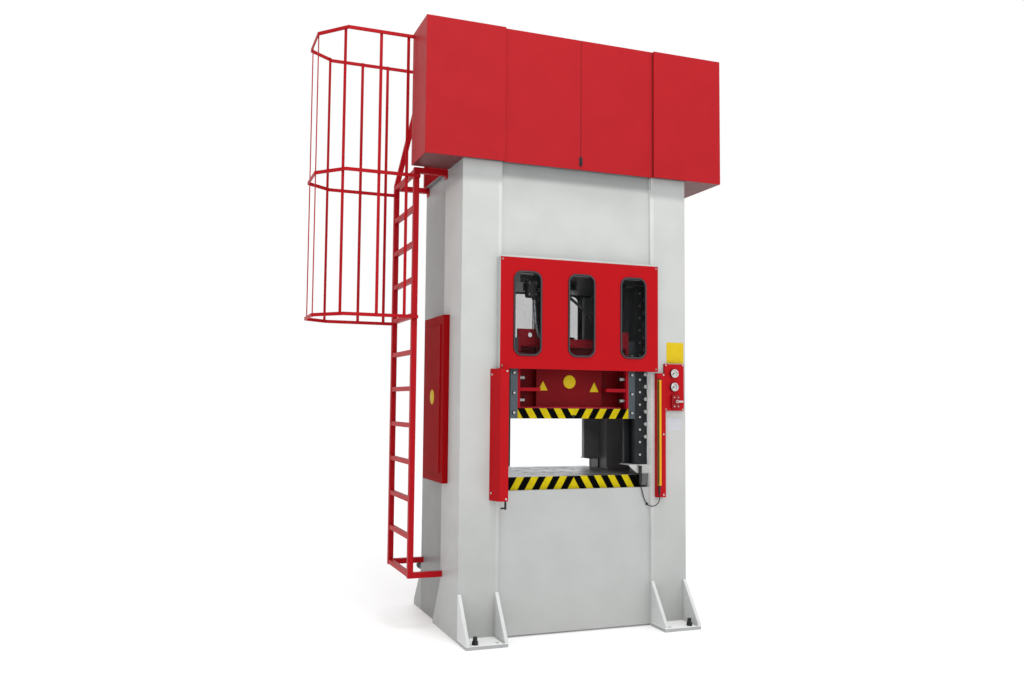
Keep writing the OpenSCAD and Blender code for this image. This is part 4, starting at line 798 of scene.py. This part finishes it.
def signs():
    """Bare yellow signs and a bare data plate."""
    piece("column_sign", front_plate(0.746, 0.897, 1.972, 2.133, -UPRIGHT_FACE, 0.0012, 0.006), "sign_yellow")
    piece("data_plate", front_plate(0.753, 0.876, 1.456, 1.553, -UPRIGHT_FACE, 0.0010, 0.003), "data_plate")
    rivets = [(x, -0.541, z) for x in (0.758, 0.871) for z in (1.461, 1.548)]
    piece("data_plate_rivets", many(turned([(1e-5, 0), (0.003, 0), (0.0024, 0.0011), (1e-5, 0.0016)], 10), rivets),
          "bright_bolts")
    shapes = []
    for x, z, h in ((-0.2165, 1.752, 0.072), (0.2065, 1.745, 0.076)):
        loop = polygon_loop([(-0.038, 0), (0.038, 0), (0, h)], 0.004)
        shapes.append(set_at(slab(loop, 0.0008, 0.0003), (x, -SLIDE_WEB, z)))
    shapes.append(set_at(slab(circle_loop(0.050), 0.0008, 0.0003), (0, -SLIDE_WEB, 1.819)))
    piece("slide_signs", gathered(shapes), "sign_yellow", "slide")
    piece("guard_sign", set_at(slab(circle_loop(0.055), 0.0008, 0.0003), (-0.963, 0.0, 1.697), (-1, 0, 0)),
          "sign_yellow")


signs()


# ---------------------------------------------------------------- window seals
def seals():
    """Glazing rubber round each window, with its grey locking strip pressed into the groove."""
    lip = np.array([(0.0080, 0.0), (0.0080, 0.0030), (0.0070, 0.0056), (0.0046, 0.0070), (0.0024, 0.0064),
                    (0.0016, 0.0044), (-0.0016, 0.0044), (-0.0024, 0.0062), (-0.0046, 0.0068),
                    (-0.0068, 0.0050), (-0.0080, 0.0020), (-0.0080, -0.0040), (0.0, -0.0040), (0.0, 0.0)])
    strip = np.array([(0.0022, 0.0044), (0.0026, 0.0060), (0.0014, 0.0074), (-0.0014, 0.0074), (-0.0026, 0.0060),
                      (-0.0022, 0.0044)])
    pitch, level = 0.428, 2.302
    loop, out = rounded_loop(0.206, 0.600, 0.058, 12)
    for name, section, finish in (("window_rubber", lip, "rubber"), ("rubber_strip", strip, "filler_grey")):
        shapes = []
        for y in (-1, 1):
            for i in (-1, 0, 1):
                plan = loop[:, None] + out[:, None] * section[None, :, :1]
                proud = np.broadcast_to(section[None, :, 1], plan.shape[:2])
                across, up = plan[..., 0] + pitch * i, plan[..., 1] + level
                points = np.stack([across, y * (WINDOW_FACE + proud), up], -1)
                points = points.reshape(-1, 3)
                shapes.append((points, outward(points, quads(len(loop), len(section), True))))
        piece(name, gathered(shapes), finish)
    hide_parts("window_seals")


seals()


# ---------------------------------------------------------------- fittings behind the front windows
def window_fittings():
    """What shows through the windows: a switch housing, a ribbed conduit below it and a diagonal hose.

    The conduit's and the hose's paths are curves through a few points; the conduit's radius swells and
    shrinks as a cosine of the length along it. Their ends go into round fittings on the panel's back.
    """
    housing = gathered([
        set_at(slab(rounded_loop(0.080, 0.118, 0.014), 0.050, 0.005), (-0.374, -0.505, 2.484)),
        set_at(slab(rounded_loop(0.066, 0.096, 0.008), 0.006, 0.0015), (-0.374, -0.555, 2.488)),
        set_at(slab(rounded_loop(0.150, 0.052, 0.006), 0.008, 0.0015), (-0.374, -0.497, 2.566)),
    ])
    piece("switch_housing", housing, "black_plastic")
    screws = [(-0.374 + sx * 0.026, -0.561, 2.488 + sz * 0.041) for sx in (-1, 1) for sz in (-1, 1)]
    piece("switch_housing_screws", many(dome_screw(0.0035, 0.0025), screws), "bright_bolts")
    path = spline([
        (-0.353, -0.528, 2.428), (-0.349, -0.529, 2.395), (-0.343, -0.530, 2.320), (-0.336, -0.533, 2.230),
        (-0.318, -0.545, 2.150), (-0.280, -0.560, 2.105), (-0.235, -0.580, 2.095), (-0.222, -0.592, 2.095)], 40)
    along = np.concatenate([[0], np.cumsum(np.linalg.norm(np.diff(path, axis=0), axis=1))])
    ribs = 0.0105 + 0.0022 * np.cos(2 * np.pi * along / 0.011)
    piece("switch_conduit", tube(path, ribs, 16, (1, 0.3, 0)), "bright_pipe")
    collar = turned([(1e-5, 0), (0.0165, 0), (0.0165, 0.010), (0.0135, 0.020), (0.0128, 0.024), (1e-5, 0.024)], 18)
    hose = spline([
        (-0.222, -0.592, 2.535), (-0.196, -0.572, 2.522), (-0.130, -0.553, 2.476), (-0.057, -0.550, 2.424),
        (0.030, -0.550, 2.357), (0.104, -0.552, 2.285), (0.170, -0.566, 2.208), (0.200, -0.590, 2.180)], 12)
    piece("panel_hose", tube(hose, 0.0105, 14, (0, 0.2, 1)), "cable_black")
    ends = [(-0.222, -0.597, 2.095), (-0.222, -0.597, 2.535), (0.200, -0.597, 2.180)]
    below_housing = set_at(collar, (-0.353, -0.530, 2.430), (0, 0, -1))
    piece("panel_fittings", gathered([many(collar, ends, (0, 1, 0)), below_housing]), "black_plastic")


window_fittings()


# ---------------------------------------------------------------- screws and bolts
def fasteners():
    """Dome screws of the covers and panels, and the cap screws of the shoes."""
    corners = [(x, z) for x in (-0.622, 0.622) for z in (1.920, 2.686)]
    panel = [many(dome_screw(0.007, 0.004), [(x, way * WINDOW_FACE, z) for x, z in corners], (0, way, 0))
             for way in (-1, 1)]
    piece("panel_screws", gathered(panel), "aged_bolts")
    front = [(-0.600, -0.650, z) for z in (0.986, 1.881)]
    slant = many(dome_screw(0.0075, 0.005), [(-0.681, -0.560, z) for z in (1.022, 1.857)], (-0.945, -0.327, 0))
    channel = [(0.697, -0.580, z) for z in (0.975, 1.430, 1.880)]
    gauge = [(x, -0.564, z) for x in (0.727, 0.875) for z in (1.619, 1.955)]
    piece("cover_screws", gathered([many(dome_screw(0.0075, 0.005), front + channel), slant]), "bright_bolts")
    piece("gauge_panel_screws", many(dome_screw(0.006, 0.004), gauge), "bright_bolts")
    valve = [(x, -0.590, z) for x in (0.785, 0.819) for z in (1.642, 1.710)]
    piece("valve_screws", many(cap_screw(0.005, 0.005), valve), "bright_bolts")
    turn = 2 * np.pi * (np.arange(12) + 0.5) / 12
    round_gland = np.stack([0.186 * np.cos(turn), 0.186 * np.sin(turn), np.full(12, 2.550)], -1)
    piece("gland_screws", many(cap_screw(0.011, 0.012), round_gland, (0, 0, -1)), "bright_bolts")
    seats, heads = [], []
    for y in (-1, 1):
        places = [(x * 0.4815, y * SLIDE_FACE, z) for x in (-1, 1) for z in (1.588, 1.731, 1.877, 2.023)]
        washer = turned([(1e-5, 0), (0.015, 0), (0.0145, 0.0025), (1e-5, 0.0025)], 18)
        seats.append(many(washer, places, (0, y, 0)))
        heads.append(many(cap_screw(0.0095, 0.008), [(a, b + y * 0.0025, c) for a, b, c in places], (0, y, 0)))
    piece("shoe_washers", gathered(seats), "black_oxide", "slide")
    piece("shoe_screws", gathered(heads), "bright_bolts", "slide")


fasteners()


# ---------------------------------------------------------------- gauges
def gauges():
    """Dials at the bottom of the cases and polished bezels round the glasses."""
    FINISHES["gauge_dial"] = dial("gauge_dial")
    face = turned([(1e-5, 0), (0.0268, 0), (0.0268, 0.0004), (0.003, 0.0004), (0.003, 0.0002), (1e-5, 0.0002)], 48)
    piece("gauge_dials", many(face, [(x, -0.5701, z) for x, z in GAUGE_AXES]), "gauge_dial")
    rim = turned([(0.0271, -0.001), (0.0322, -0.005), (0.0328, -0.001), (0.0320, 0.0022), (0.0300, 0.0030),
                  (0.0277, 0.0018), (0.0271, -0.001)], 48)
    piece("gauge_bezels", many(rim, [(x, -0.588, z) for x, z in GAUGE_AXES]), "hard_chrome")


gauges()


# ---------------------------------------------------------------- light curtain windows
def curtain_windows():
    """Dark lens strips in the beam grooves, and end caps with two screws."""
    strips, caps = [], []
    for x, y, way in ((0.642, -0.596, -1), (-0.587, -0.632, 1)):
        loop = rounded_loop(0.014, 0.770, 0.003, 5)
        strips.append(set_at(slab(loop, 0.0012, 0.0004), (x - way * 0.003, y, 1.4435), (way, 0, 0)))
        for z, up in ((1.841, 1), (1.046, -1)):
            cap = slab(rounded_loop(0.0185, 0.0325, 0.003, 5), 0.006, 0.0012)
            caps.append(set_at(cap, (x - way * 0.009, y, z), (0, 0, up)))
    piece("curtain_lenses", gathered(strips), "gauge_black")
    piece("curtain_end_caps", gathered(caps), "black_plastic")


curtain_windows()


# ---------------------------------------------------------------- frame details
def weld_seams():
    """Fillet welds of the bed, crown, gussets and slide, and the capped coupling behind the left upright."""
    gusset_size = 0.008
    seams = []
    for sx in (-1, 1):
        for sy in (-1, 1):
            x, y = sx * UPRIGHT_INNER, sy * FRAME_SHEET
            for z0, z1 in ((0.015, 1.028), (2.71, 3.40)):
                seams.append(weld((x, y, z0), (x, y, z1), ((-sx, 0, 0), (0, sy, 0))))
            for gx, way in ((0.636, 1), (0.886 if sy < 0 else 0.856, -1)):
                at, aside, back = sx * gx, (sx * way, 0, 0), sy * 0.541
                start, toe = (at, sy * 0.544, FOOT_TOP), (at, sy * 0.742, FOOT_TOP)
                seams.append(weld((at, back, 0.026), (at, back, 0.325), (aside, (0, sy, 0)), gusset_size))
                seams.append(weld(start, toe, (aside, (0, 0, 1)), gusset_size))
    piece("weld_seams", gathered(seams), "frame_paint")
    web = [weld((-0.43, y * SLIDE_WEB, 1.62), (0.43, y * SLIDE_WEB, 1.62), ((0, y, 0), (0, 0, 1)), 0.013, 0.012)
           for y in (-1, 1)]
    piece("slide_welds", gathered(web), "slide_weld", "slide")
    coupling = turned([
        (1e-5, 0), (0.030, 0), (0.030, 0.012), (0.024, 0.018), (0.0225, 0.020), (0.0225, 0.110), (0.027, 0.114),
        (0.0285, 0.120), (0.0285, 0.160), (0.025, 0.170), (0.012, 0.174), (1e-5, 0.174)], 28)
    piece("rear_coupling", set_at(coupling, (-0.850, UPRIGHT_FACE, 0.325), (0, 1, 0)), "black_plastic")


weld_seams()


def panel_strips():
    """Pale angle strips that show above the window panels' red sheets."""
    shapes = []
    for node, way in (("front_window_panel", -1), ("rear_window_panel", 1)):
        low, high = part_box(node)
        wide = rounded_loop(high[0] - low[0] - 0.006, 0.016, 0.001, 3)
        at = ((low[0] + high[0]) / 2, way * 0.592, high[2] + 0.005)
        shapes.append(set_at(slab(wide, 0.004, 0.001), at, (0, way, 0)))
    piece("panel_strips", gathered(shapes), "frame_paint")


panel_strips()


def seam_beads():
    """Rubber beads pressed into the upright joints between the head's front sheets, and the middle one's latch.

    A bead is a round-nosed section carried up from the frame's top to the sheets' top, its ends drawn together.
    """
    section = np.array([(-0.0019, 0.008), (-0.0019, 0.0012), (-0.0012, 0.0003), (0, 0), (0.0012, 0.0003),
                        (0.0019, 0.0012), (0.0019, 0.008), (0, 0.0086)])
    heights = np.array([3.407, 3.407, 3.60, 3.90, 4.20, 4.398, 4.398])
    drawn = np.array([1e-3, 1, 1, 1, 1, 1, 1e-3])
    shapes = []
    for x, wide in ((-0.6042, 3.1), (0.011, 1.0), (0.6262, 3.1)):
        plan = section.mean(0) + (section - section.mean(0)) * drawn[:, None, None] * (wide, 1.0)
        level = np.broadcast_to(heights[:, None], plan.shape[:2])
        points = np.stack([x + plan[..., 0], -0.5465 + plan[..., 1], level], -1).reshape(-1, 3)
        shapes.append((points, outward(points, quads(len(heights), len(section)))))
    piece("seam_beads", gathered(shapes), "rubber", smooth=False)
    latch = gathered([
        set_at(slab(rounded_loop(0.026, 0.070, 0.010), 0.004, 0.001), (0.011, -0.548, 3.470)),
        set_at(slab(rounded_loop(0.013, 0.046, 0.006), 0.010, 0.003), (0.011, -0.552, 3.466)),
    ])
    piece("head_latch", latch, "black_oxide")


seam_beads()


def tread_bars():
    """Raised bars of the floor sheet: lens-shaped, on a grid laid at 45 degrees, turned a quarter cell by cell.

    A bar's width and height fall off as the square root of one minus the square of the place along it. Bars
    that would reach the sheet's rim or the round opening for the cylinder are left out.
    """
    half, width, height, sunk = 0.0135, 0.0034, 0.0018, 0.0005
    pitch, rim, opening = 0.026, 0.034, 0.30
    low, high = (np.array(corner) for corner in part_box("platform_floor"))
    count = int(np.hypot(*(high - low)[:2]) / pitch) + 1
    u, v = np.meshgrid(np.arange(-count, count + 1), np.arange(-count, count + 1))
    middle = (low + high)[:2] / 2
    at = middle + pitch * np.stack([u + v, u - v], -1).reshape(-1, 2) / math.sqrt(2)
    odd = ((u + v) % 2).reshape(-1) == 1
    inside = (at > low[:2] + rim).all(1) & (at < high[:2] - rim).all(1) & (np.hypot(*at.T) > opening)
    at, odd = at[inside], odd[inside]
    t = np.linspace(-0.998, 0.998, 5)
    swell = np.sqrt(1 - t**2)[:, None]
    across = np.array([-1.0, -0.55, 0.55, 1.0, 0.0]) * width * swell
    up = (np.array([0.0, 1.0, 1.0, 0.0, 0.0]) * height - np.array([0, 0, 0, 0, 1]) * sunk) * swell
    along = np.broadcast_to(half * t[:, None], across.shape)
    ends = [0, *range(len(t)), len(t) - 1]
    bar = np.stack([along, across, up], -1)[ends]
    tips = bar[[0, -1]].mean(1, keepdims=True)
    bar[[0, -1]] = tips + 1e-3 * (bar[[0, -1]] - tips)
    bar = bar.reshape(-1, 3)
    faces = outward(bar, quads(len(ends), across.shape[1]))
    way = np.where(odd, 1, -1) * math.sqrt(0.5)
    ahead = np.stack([np.full(len(at), math.sqrt(0.5)), way], -1)
    aside = np.stack([-way, ahead[:, 0]], -1)
    plan = at[:, None] + bar[None, :, :1] * ahead[:, None] + bar[None, :, 1:2] * aside[:, None]
    level = np.broadcast_to(high[2] + bar[None, :, 2:], plan.shape[:2] + (1,))
    points = np.concatenate([plan, level], -1).reshape(-1, 3)
    faces = (faces[None] + len(bar) * np.arange(len(at))[:, None, None]).reshape(-1, 4)
    piece("tread_bars", (points, faces), "tread_plate")


tread_bars()


# ---------------------------------------------------------------- stage
def stage():
    """A pale floor, a white sky, a large soft lamp in front and a smaller one overhead."""
    mesh = bpy.data.meshes.new("floor")
    mesh.from_pydata([(-30, -30, 0), (30, -30, 0), (30, 30, 0), (-30, 30, 0)], [], [(0, 1, 2, 3)])
    floor = bpy.data.objects.new("floor", mesh)
    bpy.context.scene.collection.objects.link(floor)
    pale = Finish("floor_white", Roughness=0.6, Emission_Color=(1, 1, 1, 1), Emission_Strength=0.10)
    pale.feed("Base Color", mottled(pale, (0.93, 0.93, 0.93, 1.0), 0.01, 0.6))
    mesh.materials.append(pale.material)
    world = bpy.data.worlds.new("studio")
    bpy.context.scene.world = world
    world.use_nodes = True
    sky = world.node_tree.nodes["Background"]
    sky.inputs["Color"].default_value = (1, 1, 1, 1)
    sky.inputs["Strength"].default_value = 1.0
    aim = Vector((0, 0, 2.2))
    lamps = (("key", 170, 6.0, (-0.3, -9.5, 6.0)), ("top", 235, 2.5, (-0.4, -3.6, 9.4)))
    for name, energy, size, at in lamps:
        data = bpy.data.lights.new(name, "AREA")
        data.energy, data.size = energy, size
        lamp = bpy.data.objects.new(name, data)
        bpy.context.scene.collection.objects.link(lamp)
        lamp.location = at
        lamp.rotation_euler = (aim - lamp.location).to_track_quat("-Z", "Y").to_euler()
    bpy.context.scene.view_settings.view_transform = "Standard"


stage()
